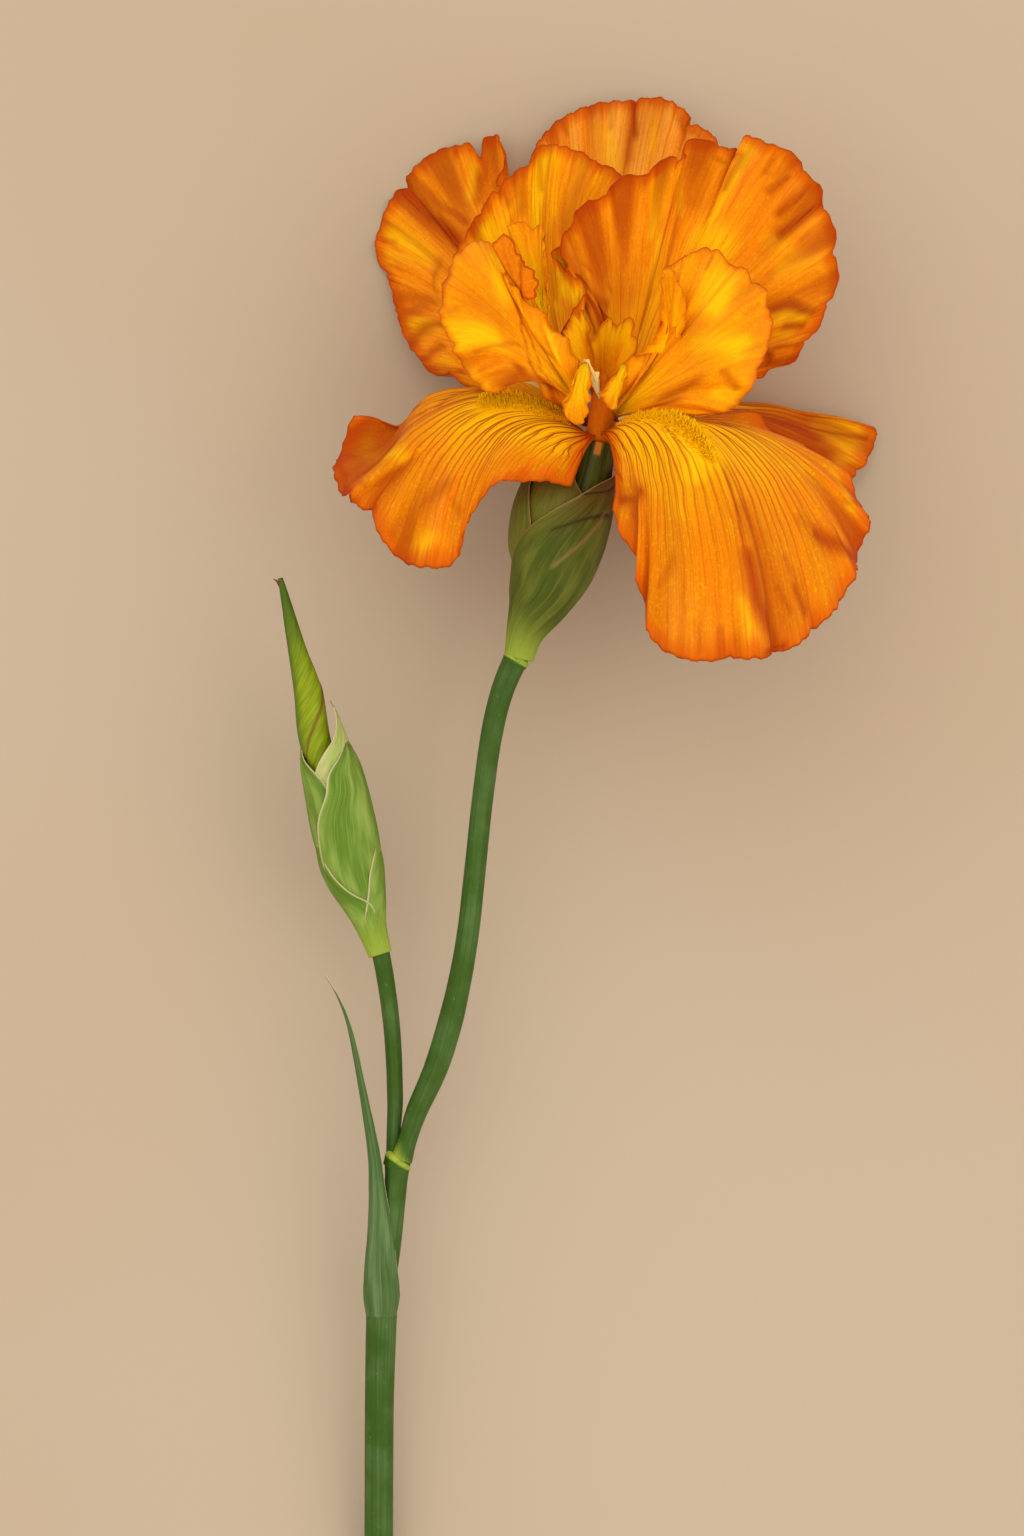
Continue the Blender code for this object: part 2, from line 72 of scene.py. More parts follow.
# Each petal is a fan of ribs that start along its foot. A rib is its half-way point and then
# its end on the rim. The ribs run from left to right as seen from the upper or inner side.
PETALS = {
    "left_fall": {
        "foot": ((-1.4, -3.8, 6.2), (-6.6, -2.0, -2.4)),
        "ribs": (
            (-5, -9.5, 11, -8, -18.5, 14), (-11, -8.5, 13, -18, -17.5, 19), (-17, -6, 15, -29, -18, 25),
            (-22, -4, 16, -36, -25, 28), (-26, -4, 16, -39, -34, 30), (-30, -4.5, 15, -43, -41.5, 30),
            (-34, -3, 14, -51.5, -42.5, 28), (-38, 0.5, 12, -60.5, -37, 24), (-39, 3.5, 9, -67.5, -26, 18),
            (-39, 7, 5, -75.5, -20, 10), (-37, 9, 1, -77.5, -8.5, 0), (-34, 9.5, -4, -69, 4, -10),
            (-30, 6, -10, -57.5, -6, -22), (-26, 4, -13, -42.5, -7.5, -30), (-17, 0.5, -11, -24, -12, -24),
            (-10, -2.5, -7, -11, -10.5, -12),
        ),
    },
    "right_fall": {
        "foot": ((6.6, -2.6, 2.2), (0.2, -3.0, 6.7)),
        "ribs": (
            (22, 0.5, 3, 41, 5.5, -2), (27.5, 1, 8, 53, -4, 3), (34.5, 0.5, 12, 65.5, -11, 8),
            (39.5, -1.5, 16, 73, -18.5, 13), (43, -3, 20, 77, -30.5, 18), (44, -5.5, 25, 72, -45, 25),
            (42, -7.5, 30, 64, -57, 32), (37.5, -9, 34, 56, -64, 38), (32.5, -9, 38, 48, -68, 44),
            (26, -9, 39, 36, -69, 47), (19, -11, 36, 23.5, -69, 47), (13.5, -11.5, 31, 13, -62, 44),
            (8, -10.5, 25, 9.5, -42.5, 38), (3.5, -10, 17, 3, -26, 26),
        ),
    },
    "back_fall": {
        "foot": ((1.5, -3.5, -7.0), (6.9, -3.5, -1.2)),
        "ribs": (
            (6.5, -5, -21, 8.5, -18.5, -36), (14.5, 1.5, -29, 23.5, -11.5, -48), (24, 6, -33, 40, -2, -51),
            (32, 8, -34, 56.5, 1.5, -51), (39, 8, -33, 72, 3, -49), (43.5, 8, -31, 83, 0.5, -47),
            (43, 4.5, -28, 79.5, -9.5, -44), (40, 0.5, -24, 72.5, -18, -40),
            (33.5, -4, -19, 59.5, -30.5, -34), (24.5, -6, -14, 41, -33, -24),
            (13, -6.5, -8, 22.5, -21.5, -14),
        ),
    },
    "left_standard": {
        "foot": ((-4.6, 0, -3.4), (-1.6, 0, -5.2)),
        "ribs": (
            (-20, 7.5, -16, -38, 13.5, -26), (-29, 14.5, -25, -51, 20, -34), (-34, 22, -31, -58, 30, -42),
            (-36, 29.5, -36, -62, 45, -50), (-36.5, 36, -40, -66.5, 57, -55),
            (-33, 41.5, -43, -61, 72, -58), (-29, 46, -45, -51, 84, -58), (-24, 47, -46, -37.5, 88, -56),
            (-20, 46, -45, -29, 89, -53), (-17, 39.5, -41, -29, 76, -50), (-11.5, 29.5, -33, -22, 58, -44),
        ),
    },
    "back_standard": {
        "foot": ((-0.6, 0, -5.6), (3.0, 0, -4.6)),
        "ribs": (
            (-7.5, 33, -37, -20, 67, -52), (-7.5, 41.5, -42, -20, 82, -55), (-6.5, 47, -45, -14.5, 92, -56),
            (-1.5, 51, -47, -3.5, 98.5, -55), (5, 53, -47, 11, 100.5, -54), (11, 52, -46, 21.5, 100, -52),
            (16, 48.5, -43, 30.5, 92.5, -50), (20, 43.5, -39, 40, 83, -46), (21, 34.5, -33, 43.5, 66, -40),
        ),
    },
    "middle_standard": {
        "foot": ((-5.0, 1.0, 1.8), (-4.2, 1.0, -2.0)),
        "ribs": (
            (-16, 10, -3, -30, 20.5, -6), (-21, 17.5, -8, -40, 35, -12), (-24, 24, -12, -43, 47.5, -16),
            (-24, 29, -15, -39, 56.5, -17), (-22, 34.5, -17, -34, 64.5, -17),
            (-20, 38.5, -18, -29, 71.5, -17), (-18, 41.5, -19, -21, 77, -17),
            (-16.5, 43.5, -19, -17.5, 82.5, -17), (-13, 43.5, -18, -10, 82.5, -17),
            (-9.5, 42.5, -16, -2, 78.5, -16), (-6.5, 39, -13, 6.5, 72.5, -15), (-6, 33, -10, -4, 59, -13),
            (-8.5, 27.5, -6, -14, 49.5, -6), (-5.5, 22, -4, -5, 40, -2), (-6.5, 14, -2.5, -11.5, 27, -2),
        ),
    },
    "right_standard": {
        "foot": ((3.2, 1.0, -2.6), (5.4, 1.0, 1.4)),
        "ribs": (
            (5, 16.5, -6, 4.5, 29.5, -7), (3, 21.5, -7, -3, 38.5, -7), (0, 26.5, -6, -10, 47.5, -4),
            (-1, 30.5, -7, -10.5, 53.5, -4), (1, 34.5, -9, -7, 60.5, -4), (4, 38, -11, -1, 65.5, -6),
            (8.5, 41, -14, 9, 72, -8), (14.5, 43.5, -17, 21.5, 78, -11), (17, 44.5, -18, 27.5, 83.5, -12),
            (21.5, 43.5, -18, 38.5, 81, -10), (24.5, 43.5, -17, 44, 84.5, -6),
            (29.5, 40, -15, 56, 78.5, -4), (33.5, 35, -12, 64, 66, 0), (34.5, 27.5, -9, 68, 47.5, 4),
            (33, 20.5, -7, 65.5, 33.5, 6), (28, 13.5, -5, 57.5, 21.5, 6), (22, 8.5, -4, 46, 13, 3),
        ),
    },
    "left_style_arm": {
        "foot": ((-3.4, 1.5, 0.6), (-1.6, 1.5, 3.0)),
        "ribs": (
            (-9, 4.5, 8, -16, 7.5, 10), (-13, 10.5, 8, -22, 16.5, 8), (-15, 11, 12, -29, 8, 16),
            (-19, 14, 14, -36, 11, 18), (-23, 18, 16, -42, 19.5, 18), (-25, 22, 17, -46, 29.5, 16),
            (-26, 26.5, 17, -45, 41, 12), (-26, 30.5, 16, -41, 49.5, 8), (-24, 33, 15, -35, 52.5, 5),
            (-23, 32, 15, -30, 50.5, 6), (-20, 27, 16, -22, 37, 11), (-12, 18, 13, -12, 26, 11),
            (-6, 10.5, 9, -6, 18, 8),
        ),
    },
    "right_style_arm": {
        "foot": ((1.2, 1.5, 3.4), (3.6, 1.5, 1.2)),
        "ribs": (
            (0.5, 5, 6.5, -0.5, 8.5, 8), (4, 9.5, 9, 7, 17, 11), (8, 10.5, 11, 12.5, 20, 13),
            (10.5, 11.5, 12.5, 18.5, 23, 14), (12, 15, 13, 18.5, 37, 12), (13, 18, 13, 18.5, 44.5, 9),
            (15.5, 21, 13, 25, 48, 8), (18.5, 23, 14, 30.5, 51, 8), (21.5, 23, 16, 39.5, 45, 10),
            (24.5, 20.5, 18, 46.5, 40, 12), (26.5, 16, 20, 49.5, 28, 16), (25.5, 11.5, 21, 46, 16.5, 20),
            (22.5, 8.5, 19, 42, 7.5, 21), (18.5, 5.2, 17.5, 36, 2.6, 22), (12.5, 2.8, 12.5, 26.5, 1.4, 20),
        ),
    },
    "back_style_arm": {
        "foot": ((-1.2, 2.5, -0.6), (1.4, 2.5, -0.6)),
        "ribs": (
            (-2.5, 11, 0.5, -9, 20, 4.5), (-2.5, 15, -1.5, -10, 28, 4.5), (-2, 17.5, -4, -5, 33, 2),
            (-0.5, 15.5, -4, -2.5, 25, 0), (1, 16.5, -4, 2, 31, 0), (2, 16, -4, 5, 29, 0),
            (3.5, 15, -3, 9, 31, 1), (3, 11, -1.5, 11, 21, 3),
        ),
    },
}

# The style arms' crests, flaps and lip are smaller fans, laid out like the petals.
CRESTS = {
    "left_style_crest": {
        "foot": ((-22, 36.5, 13), (-23, 35.5, 13)),
        "ribs": (
            (-26.5, 42.5, 13, -31, 49.5, 12), (-26.5, 44.5, 14, -30, 52.5, 14),
            (-26, 45.5, 15, -26.5, 53.5, 16), (-24.5, 44, 15, -24.5, 49.5, 17),
            (-23, 43, 15, -22.5, 46, 17), (-22, 41.5, 15, -20, 43.5, 17), (-20.5, 39.5, 15, -18.5, 41, 17),
            (-20.5, 37.5, 14, -18.5, 36.5, 15), (-21.5, 35.5, 13, -21, 34.5, 13),
        ),
    },
    "left_style_back_crest": {
        "foot": ((-15, 26.5, 6), (-16.5, 26, 6)),
        "ribs": (
            (-20.5, 38.5, 8, -25.5, 50, 8), (-20.5, 43, 8, -26.5, 57, 8), (-19.5, 43, 8, -22.5, 58, 8),
            (-18.5, 42, 8, -19.5, 56, 7), (-17, 42, 8, -17, 57, 7), (-16.5, 38.5, 8, -16, 49.5, 9),
            (-15.5, 34.5, 8, -15.5, 40.5, 10), (-15, 31, 8, -15, 33, 9),
        ),
    },
    "left_style_flap": {
        "foot": ((-5, 17, 12), (-4, 17, 12)),
        "ribs": (
            (-7, 14.5, 13, -8, 11, 15), (-7.5, 11, 14, -9, 7.5, 17), (-8.5, 8.5, 15, -11, 4, 17),
            (-8, 7.5, 16, -9.5, 0.5, 17), (-7, 7, 16, -7, -1, 17), (-5.5, 7.5, 16, -4.5, 0.5, 16),
            (-5, 9, 15, -3.5, 5, 15), (-4, 12.5, 14, -3, 10, 13), (-3.5, 15.5, 12, -2.5, 14, 11),
        ),
    },
    "left_style_lip": {
        "foot": ((0, 7, 9), (-0.5, 7, 9)),
        "ribs": (
            (-3.5, 13, 10, -5.5, 18, 10), (-2.5, 14, 11, -4.5, 18, 11), (-1.5, 13, 11, -2.5, 16, 11),
            (-0.5, 10.5, 10, -0.5, 12.5, 10),
        ),
    },
    "right_style_flap": {
        "foot": ((6.5, 17, 12), (7.5, 16, 12)),
        "ribs": (
            (5.5, 14.5, 13, 3.5, 13, 14), (4, 12, 14, 1.5, 10, 16), (3, 10.5, 15, -0.5, 7, 17),
            (3, 9, 16, 0.5, 6, 18), (4, 8.5, 16, 2, 4, 18), (4.5, 9, 16, 3.5, 3, 18),
            (5.5, 9.5, 15, 5, 6, 16), (6.5, 12, 13, 6.5, 10, 14), (7.5, 14, 12, 7.5, 13.5, 12),
        ),
    },
    "right_style_crest": {
        "foot": ((20.5, 20, 13), (19.5, 19.5, 13)),
        "ribs": (
            (15.5, 19.5, 14, 10, 19, 15), (16, 20.5, 15, 12, 20, 17), (17, 22, 15.5, 14.5, 22.5, 18),
            (18, 24, 15, 17, 26, 18), (19, 28, 14.5, 18, 33.5, 17), (19, 31.5, 13.5, 17.5, 42, 15),
            (20, 32.5, 13, 19.5, 44.5, 13), (21, 31, 14, 22, 40.5, 15), (22, 28.5, 15, 24, 35, 17),
            (22, 26, 15.5, 24, 28.5, 18), (21.5, 23, 15, 22.5, 23, 17), (21, 21, 14, 21, 20.5, 15),
        ),
    },
}

# How each petal departs from its plain fan.
# ruffle: height and length of the rim's waves, and how far in they reach (a high power stays out).
# crimp: the same for the fine crinkle at the very rim.
# folds: place across, where along the rib it starts, height of the step, its reach in millimetres,
#   how far the raised side hangs over, and how the place drifts towards the foot. A height above
#   zero raises the side with the higher places.
# pleats: place across, where along the rib it starts, depth, half-width across.
# dents: place across, place along, reach across, reach along, height.
# notches: place across, half-width and depth in the rim.
# beard, glow and shade: reach in millimetres, strength, then the places of a stroke, across and along.
# Glow strokes lay yellow that is partly the petal's own and partly painted light; shade strokes are painted
# shade and press a shallow crease.
RELIEF = {
    "left_fall": {
        "seed": 11, "midrib": 0.60, "ruffle": (1.7, 17, 3.0), "crimp": (0.4, 3.8, 9),
        "folds": ((0.575, 0.45, 1.5, 7, 1.0, 0.25), (0.525, 0.8, -0.9, 3, 0.8, 0.0)),
        "pleats": (
            (0.45, 0.55, 2.4, 0.022), (0.66, 0.6, 1.8, 0.03), (0.36, 0.6, 1.2, 0.02),
            (0.24, 0.6, 1.0, 0.02),
        ),
        "dents": ((0.725, 0.86, 0.12, 0.1, -8.0), (0.8, 0.5, 0.1, 0.2, 2.2), (0.40, 0.85, 0.05, 0.2, 2.0)),
        "notches": ((0.525, 0.008, 2.0), (0.585, 0.008, 2.5)),
        "beard": ((5.0, 1, (0.54, 0.12), (0.53, 0.40)),),
        "yellow_and_painted_light": (
            (6.5, 0.7, (0.425, 0.42), (0.221, 0.49)), (5, 0.4, (0.229, 0.65), (0.138, 0.51)),
            (4, 0.5, (0.438, 0.99), (0.396, 0.93)), (3, 0.45, (0.692, 0.94), (0.542, 0.8)),
            (3, 0.4, (0.113, 0.35), (0.058, 0.32)),
        ),
        "shade": (
            (2.4, 0.8, (0.69, 0.12), (0.68, 0.42)), (1.6, 0.6, (0.72, 0.55), (0.715, 0.76)),
            (1.8, 0.85, (0.696, 0.49), (0.596, 0.35)), (1.2, 0.6, (0.621, 0.61), (0.688, 0.52)),
            (2.3, 0.9, (0.675, 1), (0.625, 0.97), (0.592, 0.99)), (1.4, 0.6, (0.679, 0.99), (0.633, 0.9)),
            (2.6, 0.5, (0.467, 0.96), (0.438, 0.85), (0.396, 0.76)),
            (1.6, 0.7, (0.454, 0.97), (0.446, 0.94)), (1.5, 0.7, (0.537, 1), (0.521, 0.98)),
            (1.2, 0.5, (0.575, 1), (0.554, 0.99)), (1.2, 0.35, (0.367, 0.8), (0.321, 0.86)),
            (1, 0.4, (0.604, 0.95), (0.542, 0.94)), (1, 0.5, (0.637, 0.75), (0.625, 0.67)),
        ),
    },
    "right_fall": {
        "seed": 12, "midrib": 0.62, "ruffle": (1.9, 16, 3.0), "crimp": (0.4, 3.6, 9),
        "folds": (
            (0.622, 0.42, 1.6, 9, 1.8, 0.0), (0.39, 0.66, 1.5, 6, 1.2, 0.0),
            (0.705, 0.86, 0.8, 3, 0.7, 0.0), (0.50, 0.8, 0.7, 4, 0.6, 0.0),
        ),
        "pleats": (
            (0.86, 0.6, 1.6, 0.03), (0.33, 0.7, 1.2, 0.02), (0.78, 0.75, 0.8, 0.012),
            (0.455, 0.7, 0.8, 0.015),
        ),
        "dents": ((0.95, 0.8, 0.04, 0.12, -1.6),),
        "notches": ((0.612, 0.01, 1.6), (0.385, 0.01, 1.8), (0.505, 0.008, 1.2), (0.70, 0.006, 1.0)),
        "beard": ((5.0, 1, (0.67, 0.12), (0.66, 0.52)),),
        "yellow_and_painted_light": (
            (6, 0.7, (0.74, 0.3), (0.696, 0.46), (0.717, 0.58)), (5, 0.35, (0.812, 0.59), (0.771, 0.69)),
            (3, 0.4, (0.371, 0.52), (0.35, 0.7)), (2.2, 0.5, (0.658, 0.96), (0.671, 0.9)),
            (3, 0.4, (0.25, 0.91), (0.312, 0.91)), (5, 0.35, (0.65, 0.56), (0.642, 0.66)),
        ),
        "shade": (
            (2.6, 0.8, (0.52, 0.15), (0.46, 0.32), (0.3, 0.42)),
            (2.6, 0.95, (0.646, 0.81), (0.642, 0.9), (0.613, 0.98)),
            (0.6, 0.9, (0.637, 0.53), (0.642, 0.65), (0.65, 0.75), (0.65, 0.82)),
            (2.2, 0.85, (0.979, 0.86), (0.896, 0.67)), (1.3, 0.4, (0.833, 0.89), (0.8, 0.81)),
            (1.5, 1, (0.633, 0.99), (0.583, 0.99)), (1, 0.6, (0.713, 0.99), (0.713, 0.95)),
            (1.5, 0.7, (0.554, 0.94), (0.579, 0.88)), (1.5, 0.8, (0.512, 0.96), (0.525, 0.9)),
            (2.4, 0.95, (0.35, 1), (0.388, 0.93), (0.433, 0.83)), (1.2, 0.5, (0.258, 0.99), (0.338, 0.86)),
            (2.2, 0.4, (0.462, 0.77), (0.404, 0.88)), (4.5, 0.5, (0.62, 0.7), (0.6, 0.82), (0.58, 0.95)),
            (1, 0.4, (0.683, 0.99), (0.688, 0.96)), (1.2, 0.5, (1, 0.65), (0.967, 0.7)),
            (1.5, 0.4, (0.537, 0.83), (0.512, 0.91)), (1, 0.4, (0.742, 0.98), (0.742, 0.94)),
        ),
    },
    "back_fall": {
        "seed": 13, "midrib": 0.50, "ruffle": (2.0, 13, 3.0), "crimp": (0.3, 3.4, 9),
        "folds": ((0.44, 0.7, -1.6, 5, 1.2, 0.0),),
        "pleats": ((0.36, 0.6, 1.2, 0.03), (0.62, 0.7, 1.4, 0.03)),
        "dents": ((0.55, 0.75, 0.2, 0.12, -2.0),),
        "notches": ((0.435, 0.015, 5.0), (0.63, 0.01, 1.2)),
        "yellow_and_painted_light": ((3.5, 0.7, (0.554, 0.99), (0.556, 0.8)), (5, 0.5, (0.554, 0.88), (0.6, 0.94))),
        "shade": (
            (6, 1, (0.65, 0.55), (0.66, 0.73), (0.65, 0.86)),
            (5, 1, (0.604, 0.56), (0.583, 0.7), (0.6, 0.8)), (1.4, 0.9, (0.679, 0.95), (0.654, 1)),
            (1.2, 1, (0.567, 0.76), (0.555, 0.86), (0.54, 0.97)),
        ),
    },
    "left_standard": {
        "seed": 21, "midrib": 0.45, "ruffle": (2.2, 14, 3.2), "crimp": (0.35, 3.2, 9),
        "folds": (
            (0.53, 0.4, -2.0, 8, 1.6, 0.02), (0.325, 0.6, 1.3, 6, 0.9, 0.0), (0.20, 0.6, -0.8, 4, 0.5, 0.0),
        ),
        "pleats": (
            (0.11, 0.5, 1.5, 0.03), (0.63, 0.6, 1.0, 0.02), (0.75, 0.6, 1.2, 0.02), (0.42, 0.7, 0.9, 0.02),
        ),
        "notches": ((0.715, 0.009, 5.5), (0.525, 0.008, 2.2), (0.34, 0.008, 1.6)),
        "yellow_and_painted_light": (
            (3.0, 0.6, (0.212, 0.9), (0.24, 0.75)), (3, 0.55, (0.438, 0.97), (0.446, 0.75)),
            (2.5, 0.4, (0.362, 0.99), (0.446, 0.7)), (2, 0.5, (0.642, 0.8), (0.692, 0.91)),
            (2.5, 0.4, (0.096, 0.91), (0.125, 0.78)),
        ),
        "shade": (
            (4.2, 1, (0.517, 0.99), (0.521, 0.83), (0.542, 0.7)),
            (2.4, 0.75, (0.546, 1), (0.562, 0.83), (0.604, 0.73)), (2, 0.5, (0.592, 0.98), (0.608, 0.87)),
            (2.6, 0.6, (0.271, 1), (0.3, 0.78)), (3, 0.6, (0.217, 0.98), (0.317, 0.73)),
            (2, 0.8, (0.175, 0.98), (0.246, 0.72)), (1.5, 0.7, (0.121, 0.96), (0.183, 0.76)),
            (2, 0.6, (0.742, 0.95), (0.662, 0.78)), (1.2, 0.5, (0.454, 0.7), (0.333, 0.69)),
            (1.2, 0.5, (0.421, 0.96), (0.429, 0.91)), (1.5, 0.7, (0.075, 0.93), (0.096, 0.76)),
            (1, 0.5, (0.654, 0.98), (0.625, 0.9)), (1, 0.4, (0.354, 1), (0.367, 0.88)),
        ),
    },
    "back_standard": {
        "seed": 22, "midrib": 0.50, "ruffle": (1.4, 15, 3.2), "crimp": (0.3, 3.2, 9),
        "folds": ((0.505, 0.6, -1.4, 6, 1.0, 0.0), (0.72, 0.75, 1.2, 4, 0.8, 0.0)),
        "pleats": (
            (0.38, 0.6, 0.8, 0.03), (0.62, 0.6, 1.0, 0.03), (0.25, 0.6, 1.0, 0.03), (0.84, 0.6, 1.4, 0.03),
        ),
        "notches": ((0.505, 0.006, 1.2), (0.73, 0.012, 2.2), (0.83, 0.01, 2.5)),
        "yellow_and_painted_light": ((4, 0.35, (0.412, 0.91), (0.475, 0.77)), (2, 0.4, (0.583, 0.93), (0.596, 0.84))),
        "shade": (
            (1.6, 0.9, (0.492, 0.99), (0.521, 0.88)), (2.6, 0.5, (0.492, 0.97), (0.508, 0.81)),
            (1.3, 0.5, (0.146, 1), (0.242, 1)), (1.6, 0.6, (0.683, 0.96), (0.717, 0.94)),
            (1.2, 0.5, (0.742, 0.97), (0.771, 0.96)), (1, 0.4, (0.287, 1), (0.308, 0.94)),
            (1, 0.4, (0.571, 0.98), (0.575, 0.91)), (0.8, 0.4, (0.433, 0.99), (0.438, 0.91)),
        ),
    },
    "middle_standard": {
        "seed": 23, "midrib": 0.535, "ruffle": (1.6, 11, 3.2), "crimp": (0.35, 3.0, 9),
        "folds": ((0.478, 0.6, 1.0, 4, 0.6, 0.0),),
        "pleats": (
            (0.56, 0.3, 1.0, 0.012), (0.63, 0.5, 1.2, 0.02), (0.40, 0.6, 1.0, 0.015),
            (0.25, 0.6, 0.8, 0.02),
        ),
        "notches": ((0.478, 0.006, 1.0), (0.345, 0.01, 1.4)),
        "yellow_and_painted_light": (
            (2.2, 1, (0.533, 0.97), (0.433, 0.35)), (5, 1, (0.592, 0.41), (0.917, 0.93)),
            (4, 0.7, (0.263, 0.97), (0.3, 0.82)), (3, 0.6, (0.825, 0.95), (0.867, 0.78)),
            (2.5, 0.5, (0.317, 0.84), (0.392, 0.87)),
        ),
        "shade": (
            (2.4, 0.5, (0.408, 1), (0.412, 0.83)), (3, 0.55, (0.633, 0.98), (0.625, 0.68)),
            (1.6, 0.5, (0.662, 1), (0.696, 0.99)), (1, 0.5, (0.354, 0.99), (0.375, 0.88)),
            (0.8, 0.5, (0.508, 0.99), (0.521, 0.83)), (0.8, 0.45, (0.575, 0.72), (0.567, 0.43)),
            (1.2, 0.4, (0.271, 1), (0.242, 0.92)),
        ),
    },
    "right_standard": {
        "seed": 24, "midrib": 0.470, "ruffle": (2.5, 14, 3.2), "crimp": (0.45, 3.4, 9),
        "folds": (
            (0.458, 0.7, 1.0, 6, 1.3, 0.0), (0.605, 0.66, 1.6, 7, 1.6, 0.0), (0.20, 0.6, -0.8, 4, 0.6, 0.0),
        ),
        "pleats": (
            (0.752, 0.55, 2.2, 0.016), (0.795, 0.7, 1.0, 0.012), (0.862, 0.6, 1.9, 0.016),
            (0.935, 0.6, 1.5, 0.018), (0.545, 0.6, 1.0, 0.02), (0.69, 0.7, 0.8, 0.015),
            (0.36, 0.6, 1.0, 0.02),
        ),
        "dents": ((0.25, 0.7, 0.15, 0.3, -1.5),),
        "notches": ((0.452, 0.006, 2.5), (0.594, 0.010, 6.0), (0.752, 0.01, 1.5), (0.865, 0.008, 1.2)),
        "yellow_and_painted_light": (
            (3.5, 0.7, (0.875, 0.9), (0.85, 0.7)), (6, 0.7, (0.613, 0.65), (0.671, 0.66)),
            (3, 0.35, (0.738, 0.77), (0.787, 0.86)),
            (1.3, 0.8, (0.637, 0.96), (0.629, 0.73), (0.613, 0.65)),
            (2.6, 0.6, (0.417, 0.92), (0.421, 0.69)), (3, 0.45, (0.783, 0.78), (0.804, 0.93)),
            (2.4, 0.6, (0.45, 0.65), (0.492, 0.4)), (1.3, 0.5, (0.475, 0.98), (0.517, 0.73)),
            (2, 0.5, (0.9, 0.88), (0.896, 0.81)), (2, 0.4, (0.362, 0.96), (0.379, 0.99)),
        ),
        "shade": (
            (7, 0.35, (0.212, 0.94), (0.358, 0.46)), (1, 0.6, (0.146, 0.98), (0.25, 0.69), (0.317, 0.52)),
            (3.6, 1, (0.1, 0.77), (0.092, 0.59)), (3, 0.8, (0.279, 0.49), (0.017, 0.86)),
            (0.7, 0.6, (0.487, 0.99), (0.512, 0.71), (0.529, 0.49)),
            (0.7, 0.5, (0.508, 0.96), (0.525, 0.77)), (4.5, 0.5, (0.525, 0.91), (0.533, 0.79)),
            (1.2, 0.6, (0.517, 0.96), (0.621, 0.93)), (0.8, 0.6, (0.629, 0.94), (0.625, 0.81)),
            (1.2, 0.6, (0.671, 0.96), (0.671, 0.91)), (1.4, 0.7, (0.696, 0.94), (0.688, 0.87)),
            (1.5, 0.85, (0.733, 0.98), (0.725, 0.85)), (2, 1, (0.746, 0.96), (0.742, 0.81)),
            (1.2, 0.5, (0.775, 0.98), (0.775, 0.88)), (0.9, 0.5, (0.787, 0.97), (0.787, 0.91)),
            (2.2, 0.9, (0.875, 0.94), (0.838, 0.81), (0.833, 0.72)),
            (1.5, 0.8, (0.892, 0.92), (0.883, 0.83)), (1.5, 0.7, (0.929, 0.97), (0.921, 0.86)),
            (1.4, 0.9, (0.925, 0.83), (0.95, 0.88)), (0.8, 0.5, (0.487, 0.31), (0.496, 0.45)),
            (1, 0.5, (0.292, 0.97), (0.308, 0.86)), (1.2, 0.4, (0.392, 1), (0.392, 0.93)),
            (0.9, 0.4, (0.637, 0.99), (0.637, 0.89)), (1.5, 0.5, (0.833, 0.96), (0.829, 0.9)),
        ),
    },
    "left_style_arm": {
        "seed": 31, "midrib": 0.78, "ruffle": (1.4, 10, 3.2), "crimp": (0.35, 2.8, 9),
        "pleats": (
            (0.31, 0.5, 1.3, 0.02), (0.24, 0.5, 1.2, 0.02), (0.17, 0.5, 1.2, 0.02), (0.55, 0.7, 0.9, 0.02),
        ),
        "notches": ((0.66, 0.012, 1.2), (0.36, 0.012, 1.2)),
        "yellow_and_painted_light": (
            (2.2, 0.8, (0.91, 0.5), (0.9, 0.8)), (5, 0.7, (0.371, 0.95), (0.396, 0.67)),
            (3, 0.5, (0.758, 0.89), (0.608, 0.57)), (2.5, 0.6, (0.296, 1), (0.233, 0.99)),
        ),
        "shade": (
            (
                0.55, 0.8, (0.838, 0.96), (0.633, 0.44), (0.533, 0.4), (0.362, 0.41), (0.204, 0.52),
                (0.021, 0.77),
            ),
            (0.5, 0.6, (0.85, 0.99), (0.596, 0.35), (0.458, 0.32), (0.246, 0.38), (0.033, 0.58)),
            (1.8, 0.5, (0.892, 0.6), (0.887, 0.38), (0.596, 0.17)),
            (4.2, 0.9, (0.196, 0.86), (0.217, 0.64)), (2.6, 0.9, (0.267, 0.6), (0.171, 0.69)),
            (1, 0.5, (0.308, 0.91), (0.362, 0.62), (0.442, 0.45)),
            (2.6, 0.85, (0.221, 0.49), (0.004, 0.77)), (1, 0.4, (0.533, 0.98), (0.458, 0.99)),
            (1.4, 0.35, (0.433, 0.94), (0.479, 0.78)), (1.2, 0.4, (0.275, 0.92), (0.296, 0.7)),
            (1, 0.4, (0.217, 0.91), (0.25, 0.79)), (6, 0.35, (0.487, 0.78), (0.5, 0.57)),
        ),
    },
    "right_style_arm": {
        "seed": 32, "midrib": 0.57, "ruffle": (1.4, 10, 3.2), "crimp": (0.4, 2.8, 9),
        "pleats": (
            (0.63, 0.6, 1.2, 0.02), (0.70, 0.6, 1.0, 0.015), (0.78, 0.5, 1.3, 0.02), (0.86, 0.5, 1.0, 0.02),
        ),
        "notches": ((0.62, 0.008, 1.5), (0.51, 0.006, 1.0), (0.56, 0.006, 0.8), (0.68, 0.008, 1.2)),
        "yellow_and_painted_light": (
            (5, 0.7, (0.562, 0.89), (0.592, 0.76)), (4, 0.6, (0.667, 0.57), (0.742, 0.82)),
            (3, 0.6, (0.871, 0.8), (0.875, 0.94)),
        ),
        "shade": (
            (2, 0.85, (0.179, 0.62), (0.138, 0.14), (0, 0.02)), (4, 0.75, (0.887, 0.42), (0.829, 0.54)),
            (3, 0.7, (0.958, 0.44), (0.921, 0.54)), (1.4, 0.6, (0.792, 0.72), (0.85, 0.9)),
